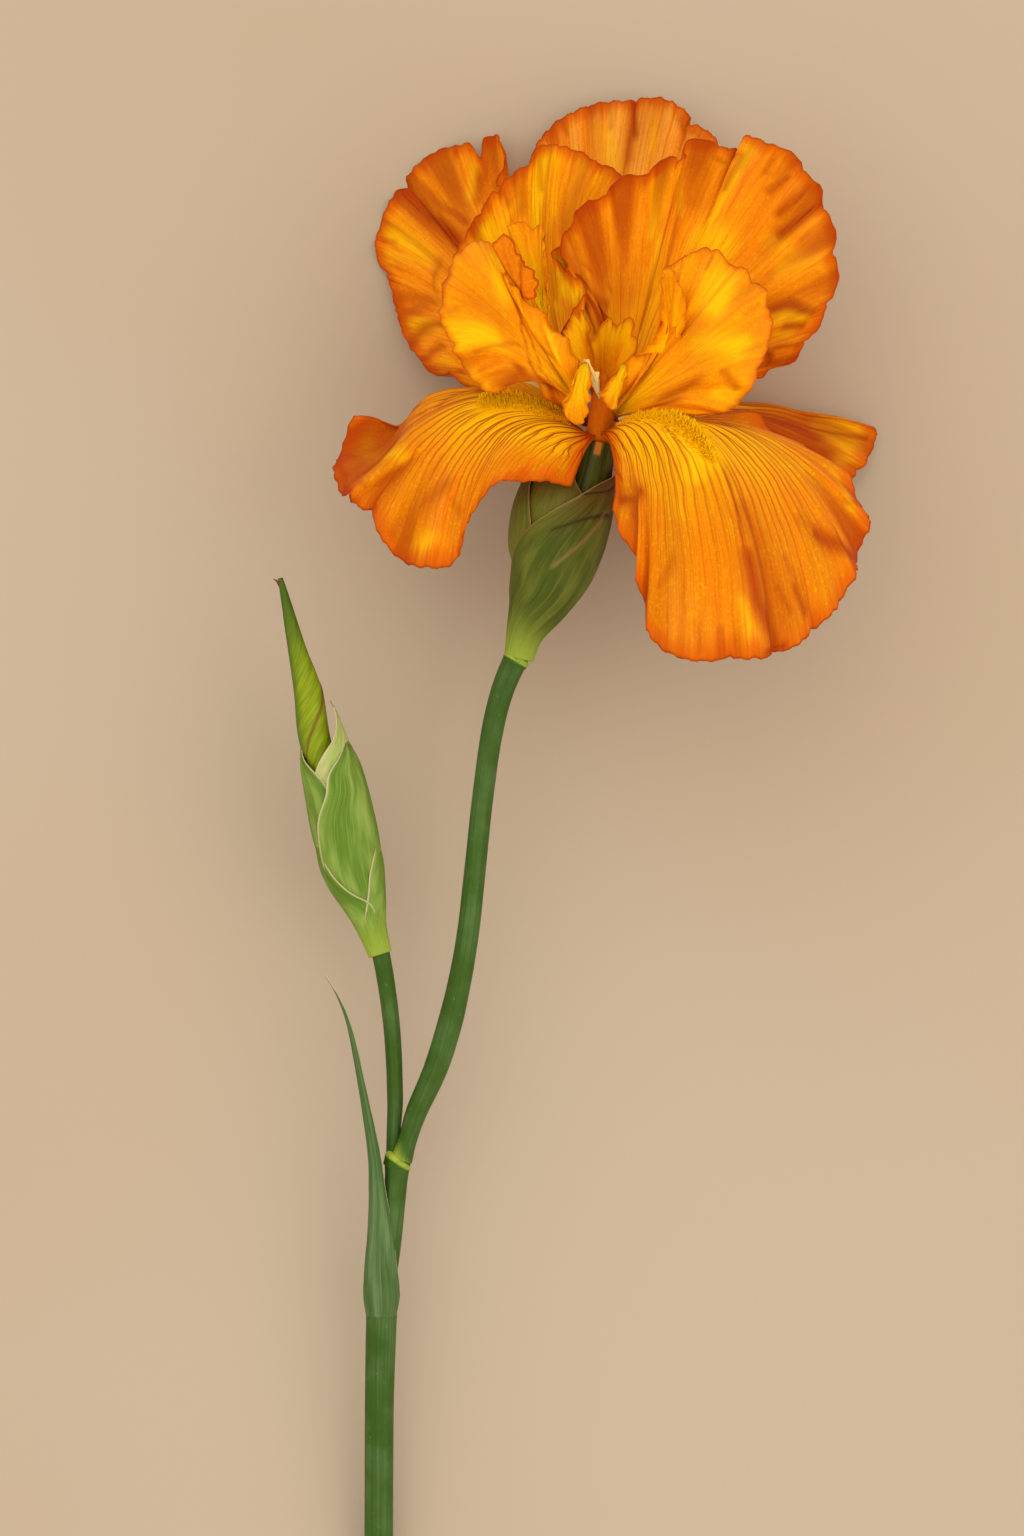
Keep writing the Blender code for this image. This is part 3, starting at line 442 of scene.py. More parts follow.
            (0.9, 0.4, (0.617, 0.95), (0.625, 0.86)), (0.9, 0.4, (0.671, 0.94), (0.671, 0.85)),
            (0.9, 0.5, (0.521, 0.96), (0.521, 0.9)), (1.2, 0.4, (0.746, 0.95), (0.746, 0.82)),
            (2.2, 0.6, (0.054, 0.83), (0.029, 0.51)), (6, 0.3, (0.592, 0.59), (0.679, 0.56)),
        ),
    },
    "back_style_arm": {
        "seed": 33, "midrib": 0.50, "ruffle": (0.7, 7, 3.2), "crimp": (0.3, 2.2, 6),
        "notches": ((0.24, 0.01, 2.0), (0.14, 0.01, 1.2), (0.66, 0.01, 1.6), (0.92, 0.01, 1.2)),
        "yellow_and_painted_light": ((6, 0.6, (0.1, 0.9), (0.9, 0.9)),),
        "shade": ((5, 0.9, (0.1, 0.2), (0.9, 0.2)),),
    },
    "crest": {
        "seed": 41, "midrib": 0.50, "ruffle": (0.7, 5, 3.0), "crimp": (0.45, 1.9, 4),
    },
}

# Where each beard lies on its fall: how far across, from where to where along the rib, its half-width,
# and how far from its middle the tall fringe stands.
BEARDS = {
    "left_beard": ("left_fall", 0.55, 0.08, 0.44, 5.4, 0.75),
    "right_beard": ("right_fall", 0.66, 0.08, 0.56, 5.2, -0.35),
    "back_beard": ("back_fall", 0.50, 0.14, 0.40, 3.0, 0.5),
}

# Stalks, stamens, tube and bud are routes with a radius at each point: x, y, z, radius.
MAIN_STEM = (
    (-64.1, -350, 0, 4.2), (-64.1, -322, 0.5, 4.1), (-63.9, -283, 0.5, 4.2), (-63.4, -262, 0.2, 4.4),
    (-63.2, -257, 0, 4.4), (-62.6, -248, 0, 3.7), (-60.9, -236, 0, 3.4), (-59.2, -220, 0, 3.3),
    (-58.7, -214.5, 0, 3.7), (-58.5, -213.0, 0, 3.7),
)
FLOWER_STALK = (
    (-57.4, -212.6, 0.8, 3.2), (-55.5, -206.4, 1.0, 2.7), (-53.1, -199.0, 1.1, 3.1),
    (-47.8, -187, 1.2, 3.5), (-44.2, -176, 1.6, 3.6), (-41.0, -163, 2, 3.4), (-38.2, -147, 2.2, 3.2),
    (-36.2, -129, 2, 3.1), (-34.1, -109, 1.5, 3.05), (-31.6, -91, 0.8, 3.15), (-28.6, -78, 0.3, 3.3),
    (-24.4, -67.9, 0, 3.6),
)
BUD_STALK = (
    (-60.0, -211.4, -0.6, 2.0), (-59.7, -203, -1.2, 2.1), (-59.4, -195, -1.5, 2.3), (-60.1, -178, -2, 2.4),
    (-61.7, -164, -2.6, 2.5), (-63.5, -153.6, -3, 2.6),
)
PERIANTH_TUBE = (
    (-21.8, -62, 0, 2.6), (-17.5, -53, 0, 3.6), (-12.2, -40, 0, 4.6), (-7.4, -27, 0, 5.0),
    (-3.4, -17.5, 0, 6.0), (-2.1, -12, 0, 5.8), (-1.2, -8, 0, 5.6), (-0.7, -5.8, 0, 5.7),
)
STAMENS = {
    "left_stamen": ((-6.6, 3.4, 1.6, 0.6), (-12, 7.8, 2.6, 0.7), (-17, 11.3, 3, 1.0), (-23, 13.6, 3, 0.8)),
    "right_stamen": ((5.4, 1.2, 5.2, 0.6), (9.5, 2.6, 7.6, 0.7), (14, 4.2, 10.6, 0.9), (18, 5.2, 13, 0.8)),
    "back_stamen": ((0.2, 2.6, -3, 0.6), (-0.3, 8, -7, 0.7), (-0.6, 13, -10.5, 1.0), (-0.8, 19, -14, 0.8)),
}
BUD = (
    (-72.5, -126, -3.2, 3.4), (-77.2, -108, -3.6, 4.0), (-82.7, -92, -4, 4.6), (-84.8, -77, -4, 4.1),
    (-87.8, -65.3, -4, 2.7), (-91.2, -51, -4, 1.4), (-92.8, -44.3, -4, 0.7),
)
THROAT = (
    (-1.4, -9.5, -1.0, 4.0), (-0.9, -7.0, -1.0, 4.2), (-0.4, -4.4, 0.4, 4.3), (0.0, -1.5, 2.4, 4.0),
    (0.3, 2.5, 4.6, 3.6), (0.6, 7.0, 6.2, 3.1), (0.8, 11.5, 6.8, 2.2), (0.9, 14.5, 6.6, 0.9),
)
COLLARS = {
    "fork_collar": (
        (-60.3, -215.9, 0, 3.2), (-59.5, -214.8, 0, 3.75), (-59.0, -214.1, 0, 4.1), (-58.6, -213.5, 0, 4.3),
        (-58.2, -213.0, 0, 4.2), (-57.8, -212.5, 0, 3.5),
    ),
    "flower_collar": (
        (-25.2, -69.6, 0, 3.5), (-24.8, -68.9, 0, 3.8), (-24.4, -68.2, 0, 3.9), (-24.0, -67.4, 0, 3.7),
    ),
    "bud_collar": (
        (-63.7, -154.1, -3, 2.4), (-63.8, -153.6, -3, 2.75), (-64.0, -152.8, -3, 2.9),
        (-64.3, -152.0, -3, 2.8),
    ),
}
BUD_SPIKE = ((-92.2, -47.5, -4, 0.7), (-93.6, -45.4, -3.6, 0.35), (-94.8, -44.6, -3.4, 0.1))

# Each stalk's route, how far its two ends reach into their neighbours, how far up its yellow-green
# start goes, and its mesh.
STALKS = {
    "main_stem": (MAIN_STEM, (0, 0), 0, (52, 150)),
    "flower_stalk": (FLOWER_STALK, (0.4, 0.9), 0.1, (48, 140)),
    "bud_stalk": (BUD_STALK, (0.4, 0.6), 0.06, (48, 90)),
}

# A spathe wraps round an axis: x, y, z and radius. Each of its valves spans a stretch of the axis,
# and its rows, evenly spaced from its base to its tip, give the directions of its two margins in
# degrees and how far it stands out from the axis's radius. 0 degrees is +X and 90 the front.
# Tuck is how far its two margins dip under their neighbours.
FLOWER_SPATHE = (
    (-23.3, -66.9, 0, 4.0), (-21.6, -60, 0, 5.2), (-17.7, -51, 0, 8.4), (-14.4, -42, 0, 11.6),
    (-12.9, -34, 0, 13.2), (-11.3, -25, 0, 13.4), (-9.4, -17, 0, 11.8), (-6.5, -11, 0, 9.0),
)
FLOWER_VALVES = {
    "flower_spathe_right": {
        "span": (0.0, 1.0),
        "rows": (
            (232, -112, 0), (220, -114, 0), (200, -115, 0.3), (174, -112, 0.5), (162, -104, 0.5),
            (147, -92, 0.8), (127, -78, 1.0), (99, -60, 1.3), (73, -40, 1.8), (52, -26, 2.4), (9, -3, 2.8),
        ),
    },
    "flower_spathe_left": {
        "span": (0.12, 0.97),
        "rows": (
            (265, 122, -1.4), (262, 118, -0.8), (258, 116, -0.5), (250, 118, 0.1), (240, 122, 0.4),
            (225, 134, 0.2), (205, 148, 0.0), (186, 162, -0.2),
        ),
    },
    "flower_spathe_inner": {
        "span": (0.30, 0.92),
        "rows": (
            (212, 50, -1.2), (210, 48, -1.1), (206, 46, -1.0), (200, 46, -1.0), (188, 50, -1.0),
            (166, 62, -1.1), (128, 90, -1.3),
        ),
        "tuck": (0.8, 0.8),
    },
}
BUD_SPATHE = (
    (-64.0, -152.8, -3, 3.0), (-66.2, -146, -3, 3.9), (-68.2, -139, -3, 5.7), (-71.2, -130, -3.2, 8.1),
    (-74.2, -119, -3.5, 9.3), (-77.2, -105, -3.8, 8.9), (-79.6, -94.5, -4, 7.8), (-81.6, -80.5, -4, 4.6),
)
BUD_VALVES = {
    "bud_spathe_front": {
        "span": (0.16, 0.89),
        "rows": (
            (160, -100, 0), (160, -100, 0), (158, -98, 0), (156, -96, 0), (153, -92, 0.1), (148, -88, 0.3),
            (140, -82, 0.4), (130, -72, 0.4), (106, -60, 0.4), (94, -46, 0.3), (64, -22, 0), (34, 6, -0.6),
        ),
    },
    "bud_spathe_left": {
        "span": (0.2, 0.9),
        "rows": (
            (300, 90, -0.8), (300, 88, -0.8), (300, 86, -0.8), (298, 86, -0.7), (290, 90, -0.5),
            (275, 98, -0.4), (250, 128, -0.4), (186, 180, -0.6),
        ),
        "tuck": (0, 0.3),
    },
    "bud_spathe_back": {
        "span": (0.6, 1.0),
        "rows": (
            (150, -80, -1.4), (145, -78, -1.3), (138, -74, -1.1), (128, -68, -0.9), (115, -60, -0.7),
            (92, -50, -0.6), (57, -38, -0.6), (30, -20, -0.8), (12, 2, -1.2),
        ),
    },
}
BASE_BRACT = {
    "span": (0.0, 0.62),
    "rows": (
        (120, -297, 0.1), (120, -297, 0.15), (112, -297, 0.2), (104, -297, 0.25), (86, -288, 0.35),
        (70, -254, 0.45), (58, -234, 0.5), (38, -221, 0.3), (14, -212, -0.6), (-40, -200, -1.4),
    ),
}
SPATHE_FLATNESS = 0.92  # a spathe is a little flatter than it is wide

# The clasping leaf wraps round its own axis: x, y, z, radius, the direction of its midrib, and how
# far it goes round to either side, both in degrees.
STEM_LEAF = (
    (-63.3, -258.4, 0, 5.2, 180, 172), (-63.0, -250, 0, 5.25, 180, 160),
    (-63.1, -243.5, 0.1, 4.8, 176, 148), (-63.1, -236, 0.5, 4.1, 172, 140),
    (-63.5, -228.6, 1.2, 3.3, 162, 128), (-64.0, -221, 1.8, 2.65, 156, 112),
    (-65.0, -210, 2.2, 2.05, 158, 106), (-68.0, -192, 2.0, 1.65, 164, 90), (-71.2, -176, 1.5, 1.4, 166, 74),
    (-74.6, -166.5, 1.2, 1.0, 168, 56), (-79.0, -158.8, 1.0, 0.9, 170, 12),
)

# Ridges and creases drawn on the outer valve of the flower's spathe: a path of places across and
# along it, then height (below zero for a crease) and reach in millimetres.
FLOWER_LINES = (
    (((0.27, 0.44), (0.33, 0.56), (0.38, 0.68), (0.4, 0.74)), 0.15, 0.6),
    (((0.03, 0.82), (0.1, 0.845), (0.23, 0.88), (0.45, 0.93)), -0.5, 0.6),
    (((0.14, 0.62), (0.25, 0.69), (0.34, 0.72), (0.5, 0.735)), -0.6, 0.75),
)

# How many points a piece has across and along it, or round and along a tube.
PETAL_MESH = (190, 66)
STYLE_MESH = (120, 60)
CREST_MESH = (50, 28)
STAMEN_MESH = (20, 40)
COLLAR_MESH = (48, 24)
PERIANTH_MESH = (48, 60)
THROAT_MESH = (48, 30)
LEAF_MESH = (40, 120)
FLOWER_VALVE_MESH = (100, 68)
BUD_MESH = (72, 130)
SPIKE_MESH = (12, 12)
BUD_VALVE_MESH = (84, 64)
BRACT_MESH = (100, 50)

# The petals' finest shape, in millimetres.
RIB_THICKNESS = 0.5  # how much thicker a petal is along its midrib
RIB_REACH = 0.8  # how far that reaches to either side of it
RIB_LINE_REACH = 1.0  # how far the dark line on the midrib reaches to either side
RUFFLE_LEAN = 0.5  # how far a ruffle sways sideways for each millimetre that it rises
CRIMP_PATCH = 9  # the length of rim over which its crinkles grow and fade
RIM_TEETH = ((0.38, 2.3), (0.15, 0.9))  # height and length of the two finest waves in the rim's outline
FOLD_SOFTNESS = 0.45
PUCKER = 0.16  # height of the small hills all over a petal
PUCKER_HILLS = (46, 5)  # how many of them there are across and along it
SHADE_DEPTH = 0.5  # how deep a shaded crease is
MIDRIB_DEPTH = 0.45
MIDRIB_REACH = 0.9
TEETH_FADE = 8  # the power of the place along a rib by which teeth and notches fade inwards
TEETH_PLACE = 0.9  # where along a rib the length that they are shares of is measured
RIM_CROWDING = 1.15  # past 1, more of a petal's points lie near its rim

# The spathes' and the leaf's finest shape, in millimetres.
THIN_MARGIN = 0.25  # their thickness at the margin
VALVE_SWELL = (0.4, 4)  # how much thicker a valve gets further in, and how far in
LEAF_SWELL = (0.45, 3)
VALVE_PUCKER = 0.09
VALVE_HILLS = (22, 4)  # across and along a valve
VEIN_HEIGHT = 0.035
VEIN_SPACING = 1.1
LEAF_VEIN_HEIGHT = 0.04
LEAF_VEIN_SPACING = 1.0
MARGIN_FLARE = 0.25
FLARE_REACH = 1.2

TUBE_CAP = (0.02, 0.45, 0.8, 0.95)  # how wide the rings are that round in a tube's end
HAIR_RINGS = ((0.0, 1.0), (0.4, 0.85), (0.75, 0.6))  # how far along a hair each ring is and how wide
BEARD_SEED = 50
BEARD_HAIRS = 2000
BEARD_SPREAD = 0.45  # how widely hairs stray from the middle, as a share of the beard's half width
ROOT_DEPTH = 0.1  # how far below the petal's middle surface a hair starts, in millimetres
HAIR_STRAY = 0.28  # how far a hair's direction strays from its neighbours'
HAIR_BEND = 0.18  # how far a hair bends outwards for its length
FRINGE_SHARE = 0.07  # how many of a beard's hairs stand in its tall fringe
FRINGE_LEAN = (0.0, 1.0, 0.45)  # towards the flower's top and a little out of its front
FRINGE_LENGTH = 1.7
FRINGE_WIDTH = 1.8

# Each set of a petal's veins: how many, where along it they start and end to fork, their width in
# millimetres and their strength, and where along it they start and end to fade.
FALL_VEINS = ((24, 0.3, 0.65, 0.44, 0.95, 0.25, 0.95), (49, 0.6, 0.95, 0.24, 0.4, 0.4, 1.0))
STANDARD_VEINS = ((30, 0.35, 0.75, 0.26, 0.3, 0.2, 1.0),)
STYLE_VEINS = ((20, 0.4, 0.8, 0.22, 0.25, 0.2, 0.9),)
VEIN_WAVER = 0.03

# How each kind of petal is painted: its veins, where along it its yellow heart starts and ends to
# fade, how far in its rim's streaks reach in millimetres, and how bold its marks are.
PETAL_MARKS = {
    "fall": (FALL_VEINS, (0.4, 0.95), 6.5, 1.0),
    "standard": (STANDARD_VEINS, (0.2, 0.8), 4.0, 1.0),
    "style": (STYLE_VEINS, (0.1, 0.6), 2.0, 0.6),
    "curled_crest": ((), (0.0, 0.1), 0.8, 0.9),
    "crest": ((), (0.4, 1.1), 0.5, 0.35),
    "throat": ((), (0.0, 0.1), 0.1, 0.5),
}

# How each kind of valve is painted: how far in its papery margin reaches in millimetres, how far up
# it its yellow-green base goes, where along it its dry tip starts (past 1 there is none), and how
# bold its marks are.
VALVE_MARKS = {
    "leaf": (0.35, 0, 0.985, 1.0),
    "outer": (0.7, 0.25, 0.5, 1.0),
    "inner": (0.7, 0, 0.55, 1.0),
    "bud": (0.9, 0, 0.93, 0.55),
    "bract": (0.8, 0.45, 1.1, 0.55),
}

# The stage, in metres from the flower's heart. The camera's place over it, its lens and its sensor are
# in millimetres.
FLOOR_SIZE = 6.0
KEY_PLACE = (-0.65, 0.6, 1.5)
KEY_SIZE = 2.4
FILL_PLACE = (1.1, -0.3, 1.2)
FILL_SIZE = 1.4
SKY_COLOUR = (1.0, 0.98, 0.95, 1.0)
CAMERA_LENS = 135.0
CAMERA_SENSOR = 36.0
CAMERA_FAR = 20.0
CAMERA_OVER = (-25.5, -99.5)


def rgb(red, green, blue):
    """A colour as it is seen, 0 to 255, turned into the linear values that shaders take."""
    return tuple(((value / 255 + 0.055) / 1.055) ** 2.4 for value in (red, green, blue))


FILAMENT_CREAM = rgb(222, 196, 130)
ANTHER_CREAM = rgb(236, 196, 110)
PITH_PALE = rgb(196, 204, 150)
PITH_GREEN = rgb(122, 140, 74)
TUBE_DARK = rgb(48, 46, 4)
TUBE_OLIVE = rgb(86, 88, 20)
TUBE_STRIP = rgb(206, 112, 24)


def colour_prop(name, description, default):
    return FloatVectorProperty(
        name=name, description=description, default=default, size=3, min=0.0, max=1.0, subtype="COLOR"
    )


def length_prop(name, description, default):
    return FloatProperty(
        name=name, description=description, default=default, min=0.0, subtype="DISTANCE", unit="LENGTH"
    )


class IrisPetalLook(PropertyGroup):
    """Thickness, ruffle and colours of the petals."""

    thickness: length_prop("Thickness", "How thick a petal is at its foot", 0.0007)
    rim_thickness: length_prop("Rim thickness", "How thick a petal is at its rim", 0.00035)
    ruffle: FloatProperty(
        name="Ruffle", description="Depth of the rims' waves; 1 is as grown", default=1.0, min=0.0, max=2.0
    )
    fall: colour_prop("Falls", "Body of the hanging petals", rgb(220, 128, 0))
    standard: colour_prop("Standards", "Body of the upright petals", rgb(248, 150, 12))
    # Painted light: the middle standard's body is lighter than the other standards' to stand for light that
    # shines through it in the style arms' shade.
    middle: colour_prop("Middle standard", "Body of the bright petal in the middle", rgb(254, 170, 4))
    back: colour_prop("Back standard", "Body of the paler upright petal at the back", rgb(250, 168, 56))
    style: colour_prop("Style arms", "Body of the arms over the beards", rgb(246, 152, 0))
    heart: colour_prop("Heart", "Yellow round the beards and at the petals' feet", rgb(255, 194, 4))
    deep: colour_prop("Streaks", "Deeper orange of the streaks along the ribs", rgb(236, 124, 4))
    rim: colour_prop("Rim", "Deep orange towards the rims", rgb(214, 92, 2))
    line: colour_prop("Rim line", "Thin dark line at the very rim", rgb(150, 48, 0))
    # Painted shade: the Hollows colour is laid into the throat, the petals' feet, low folds and the shade
    # strokes.
    shadow: colour_prop("Hollows", "Red-brown of the throat and of deep folds", rgb(160, 38, 0))
    vein: colour_prop("Veins", "Brown veins on the falls", rgb(158, 36, 0))
    # Blush is partly a pinkish tone in random patches and partly a painted highlight on the raised places of
    # the relief.
    blush_and_highlight: colour_prop("Blush", "Pinkish cast where a petal thins", rgb(242, 140, 34))


class IrisBeardLook(PropertyGroup):
    """Hairs of the beards."""

    length: length_prop("Hair length", "How long a beard's hairs are", 0.0019)
    width: length_prop("Hair width", "How thick a hair is at its root", 0.0006)
    outer: colour_prop("Outer hairs", "Yellow hairs at a beard's outer end", rgb(255, 190, 0))
    inner: colour_prop("Inner hairs", "Orange hairs deep in the flower", rgb(255, 168, 0))


class IrisGreenLook(PropertyGroup):
    """Colours of stalks, spathes, leaf and bud."""

    stem: colour_prop("Stalks", "Green of the stem and stalks", rgb(50, 84, 8))
    wax: colour_prop("Wax", "Greyish waxy cast on stem and leaf", rgb(108, 134, 84))
    collar: colour_prop("Collar", "Yellow-green where stalks join", rgb(156, 172, 54))
    leaf: colour_prop("Leaf", "Grey-green of the clasping leaf", rgb(68, 98, 44))
    spathe: colour_prop("Flower spathe", "Olive of the flower's spathe", rgb(70, 80, 0))
    spathe_pale: colour_prop("Flower spathe streaks", "Streaks of the flower's spathe", rgb(120, 122, 38))
    bud_spathe: colour_prop("Bud spathe", "Green of the bud's spathe", rgb(94, 126, 28))
    bud_pale: colour_prop("Bud spathe streaks", "Streaks of the bud's spathe", rgb(166, 182, 88))
    margin: colour_prop("Flower spathe margin", "Papery margin of the flower's spathe", rgb(164, 118, 72))
    bud_margin: colour_prop("Bud spathe margin", "Pale margin of the bud's spathe", rgb(212, 190, 150))
    dry: colour_prop("Dry tip", "Brown where a spathe has dried", rgb(104, 54, 14))
    bud: colour_prop("Bud", "Yellow-green of the rolled petals", rgb(142, 158, 4))


class IrisStageLook(PropertyGroup):
    """Floor, light and camera."""

    floor: colour_prop("Floor", "Pale beige of the surface", rgb(184, 161, 133))
    key: FloatProperty(name="Key light", description="Watts of the large lamp", default=9.5, min=0.0)
    fill: FloatProperty(name="Fill light", description="Watts of the lamp opposite", default=7.0, min=0.0)
    sky: FloatProperty(name="Sky", description="Strength of the light all round", default=1.0, min=0.0)
    camera_height: length_prop("Camera height", "How far the camera is from the flower's heart", 1.669)


def looks(part):
    """The settings of petals, beards, greens or stage."""
    return getattr(bpy.context.scene, "iris_" + part)


# Shapes


def smooth(x):
    """A soft step from 0 to 1."""
    x = np.clip(x, 0.0, 1.0)
    return x * x * (3 - 2 * x)


def through(rows, t):
    """The smooth curve through the rows at t from 0 to 1, for a whole array of t."""
    rows = np.asarray(rows, float)
    place = np.clip(t, 0.0, 1.0) * (len(rows) - 1)
    i = np.minimum(place.astype(int), len(rows) - 2)
    u = (place - i)[..., None]
    before = rows[np.maximum(i - 1, 0)] * (-u + 2 * u**2 - u**3)
    start = rows[i] * (2 - 5 * u**2 + 3 * u**3)
    end = rows[i + 1] * (u + 4 * u**2 - 3 * u**3)
    after = rows[np.minimum(i + 2, len(rows) - 1)] * (u**3 - u**2)
    return (before + start + end + after) / 2


def unit(vectors):
    return vectors / np.maximum(np.linalg.norm(vectors, axis=-1, keepdims=True), 1e-9)


def hills(x, y, seed):
    """Soft random hills between -1 and 1, about one to a unit."""
    size = 64
    heights = np.random.default_rng(seed).uniform(-1, 1, (size, size))
    i, j = np.floor(x).astype(int), np.floor(y).astype(int)
    u, v = smooth(x - i), smooth(y - j)
    rows = []
    for row in (j % size, (j + 1) % size):
        rows.append(heights[i % size, row] * (1 - u) + heights[(i + 1) % size, row] * u)
    return rows[0] * (1 - v) + rows[1] * v


def ripple(x, seed):
    """An uneven wave that turns from crest to trough once a unit."""
    rng = np.random.default_rng(seed)
    size = 512
    knots = rng.uniform(0.35, 1.0, size) * np.where(np.arange(size) % 2, 1, -1)
    x = x + 0.35 * hills(x * 0.37, x * 0, seed + 1)
    i = np.floor(x).astype(int)
    u = smooth(x - i)
    return knots[i % size] * (1 - u) + knots[(i + 1) % size] * u


def bump(x, reach):
    return np.exp(-((x / reach) ** 2))


def grid(mesh):
    """The places across and along a piece with so many points across and along it, both from 0 to 1."""
    return np.meshgrid(np.linspace(0, 1, mesh[0]), np.linspace(0, 1, mesh[1]))


def near_path(s, t, width, length, path):
    """Millimetres from each point of a sheet to a line drawn on it through places across and along."""
    nearest = np.full(s.shape, 1e3)
    for (s0, t0), (s1, t1) in zip(path, path[1:]):
        across, along = (s1 - s0) * width, (t1 - t0) * length
        share = ((s - s0) * width * across + (t - t0) * length * along) / (across**2 + along**2 + 1e-9)
        share = np.clip(share, 0, 1)
        gap = np.hypot((s - s0) * width - share * across, (t - t0) * length - share * along)
        nearest = np.minimum(nearest, gap)
    return nearest


class Petal:
    """A fan of ribs with its own relief."""

    RIM_STEPS = 400

    def __init__(self, name):
        fan = PETALS.get(name) or CRESTS[name]
        ribs = np.array(fan["ribs"], float)
        self.half_ways, self.ends = ribs[:, :3], ribs[:, 3:]
        self.foot = np.array(fan["foot"], float)
        self.relief = RELIEF.get(name, RELIEF["crest"])
        self.rim = np.linspace(0, 1, self.RIM_STEPS)
        steps = np.linalg.norm(np.diff(self.bare(self.rim, np.ones(self.RIM_STEPS)), axis=0), axis=1)
        self.rim_length = np.concatenate([[0], np.cumsum(steps)])

    def bare(self, s, t):
        """The fan without its relief, in millimetres."""
        half_way, end = through(self.half_ways, s), through(self.ends, s)
        start = self.foot[0] + (self.foot[1] - self.foot[0]) * s[..., None]
        handle = 2 * half_way - (start + end) / 2
        t = t[..., None]
        return start * (1 - t) ** 2 + handle * 2 * t * (1 - t) + end * t**2

    def directions(self, s, t):
        """Across the petal per unit of s, outward along the rib per unit of t, and its upper normal."""
        across = (self.bare(s + SLOPE_STEP, t) - self.bare(s - SLOPE_STEP, t)) / (2 * SLOPE_STEP)
        outward = (self.bare(s, t + SLOPE_STEP) - self.bare(s, t - SLOPE_STEP)) / (2 * SLOPE_STEP)
        return across, outward, unit(np.cross(across, outward))

    def rise(self, s, t, width):
        """How far the relief lifts the petal and how far it leans it sideways, in millimetres."""
        relief, seed = self.relief, self.relief["seed"]
        along_rim = np.interp(s, self.rim, self.rim_length)
        height, wave_length, power = relief["ruffle"]
        height = height * looks("petals").ruffle
        phase = along_rim * 2 / wave_length
        lift = height * t**power * ripple(phase, seed)
        lean = RUFFLE_LEAN * height * t**power * ripple(phase + 0.5, seed)
        crimp, crimp_length, crimp_power = relief["crimp"]
        uneven = 0.6 + 0.6 * hills(along_rim / CRIMP_PATCH, s * 0, seed + 3)
        crimps = ripple(along_rim * 2 / crimp_length, seed + 2) * uneven
        lift = lift + crimp * t**crimp_power * crimps
        across, along = PUCKER_HILLS
        lift = lift + PUCKER * hills(s * across, t * along, seed + 4) * t * (1.2 - t)
        for place, start, step_height, reach, overhang, drift in relief.get("folds", ()):
            offset = (s - place - drift * (t - 1)) * width * math.copysign(1, step_height)
            grown = smooth((t - start) / (1 - start)) * np.exp(-np.abs(offset) / reach)
            raised = 0.5 + 0.5 * np.tanh(offset / FOLD_SOFTNESS)
            lift = lift + abs(step_height) * (2 * raised - 1) * grown
            lean = lean - math.copysign(overhang, step_height) * raised * grown
        for place, start, depth, reach in relief.get("pleats", ()):
            lift = lift - depth * bump(s - place, reach) * smooth((t - start) / (1 - start))
        for place, along_rib, wide, deep, dent in relief.get("dents", ()):
            lift = lift + dent * bump(s - place, wide) * bump(t - along_rib, deep)
        return lift, lean

    def strokes(self, kind, s, t):
        """How strongly the petal's strokes of a kind mark each point, from 0 to 1."""
        across, outward, _ = self.directions(s, t)
        width, length = np.linalg.norm(across, axis=-1), np.linalg.norm(outward, axis=-1)
        marked = np.zeros_like(s)
        for reach, strength, *path in self.relief.get(kind, ()):
            marked = np.maximum(marked, strength * bump(near_path(s, t, width, length, path), reach))
        return marked

    def surface(self, s, t):
        """The petal's middle surface in millimetres, and how far its relief lifts it."""
        relief, seed = self.relief, self.relief["seed"]
        along_rim = np.interp(s, self.rim, self.rim_length)
        (coarse, coarse_length), (fine, fine_length) = RIM_TEETH
        growth = coarse * ripple(along_rim / coarse_length, seed + 5)
        growth = growth + fine * ripple(along_rim / fine_length, seed + 6)
        for place, width, depth in relief.get("notches", ()):
            growth = growth - depth * bump(s - place, width)
        length = np.linalg.norm(self.directions(s, np.full_like(s, TEETH_PLACE))[1], axis=-1)
        t = np.maximum(t * (1 + growth / length * t**TEETH_FADE), 0)
        across, _, normal = self.directions(s, t)
        width = np.linalg.norm(across, axis=-1)
        lift, lean = self.rise(s, t, width)
        midrib = bump((s - relief["midrib"]) * width, MIDRIB_REACH)
        creased = lift - MIDRIB_DEPTH * midrib * smooth(t * 5) * np.clip(1 - t, 0, 1) ** 0.5
        creased = creased - SHADE_DEPTH * self.strokes("shade", s, t) * smooth(t * 3)
        middle = self.bare(s, t) + normal * creased[..., None] + unit(across) * lean[..., None]
        return middle, lift


def lay_down(points):
    """Millimetres in the plant's frame as metres in the shared one, kept just clear of the surface."""
    turned = points @ np.array(LIE_TURN).T + np.array(LIE_OFFSET)
    low = turned[..., 2]
    above = (low - FLOOR_CLEARANCE) * FLOOR_SHARPNESS
    lifted = FLOOR_CLEARANCE + np.logaddexp(0.0, above) / FLOOR_SHARPNESS
    turned[..., 2] = np.where(low > FLOOR_REACH, low, lifted)
    return turned * MM


def new_piece(name, points, faces, layers, face_uv, material):
    """One mesh object from points in millimetres, its faces, and values for its shader at each point."""
    mesh = bpy.data.meshes.new(name)
    mesh.from_pydata(lay_down(points).tolist(), [], faces)
    mesh.validate()
    for layer, values in layers.items():
        made = mesh.attributes.new(layer, "FLOAT", "POINT")
        made.data.foreach_set("value", np.asarray(values, np.float32).ravel())
    corners = np.zeros(len(mesh.loops), np.int32)
    mesh.loops.foreach_get("vertex_index", corners)
    uv_map = mesh.uv_layers.new(name="Ribs")
    uv_map.data.foreach_set("uv", face_uv[corners].astype(np.float32).ravel())
    mesh.shade_smooth()
    mesh.materials.append(material)
    piece = bpy.data.objects.new(name, mesh)
    bpy.context.scene.collection.objects.link(piece)
    return piece


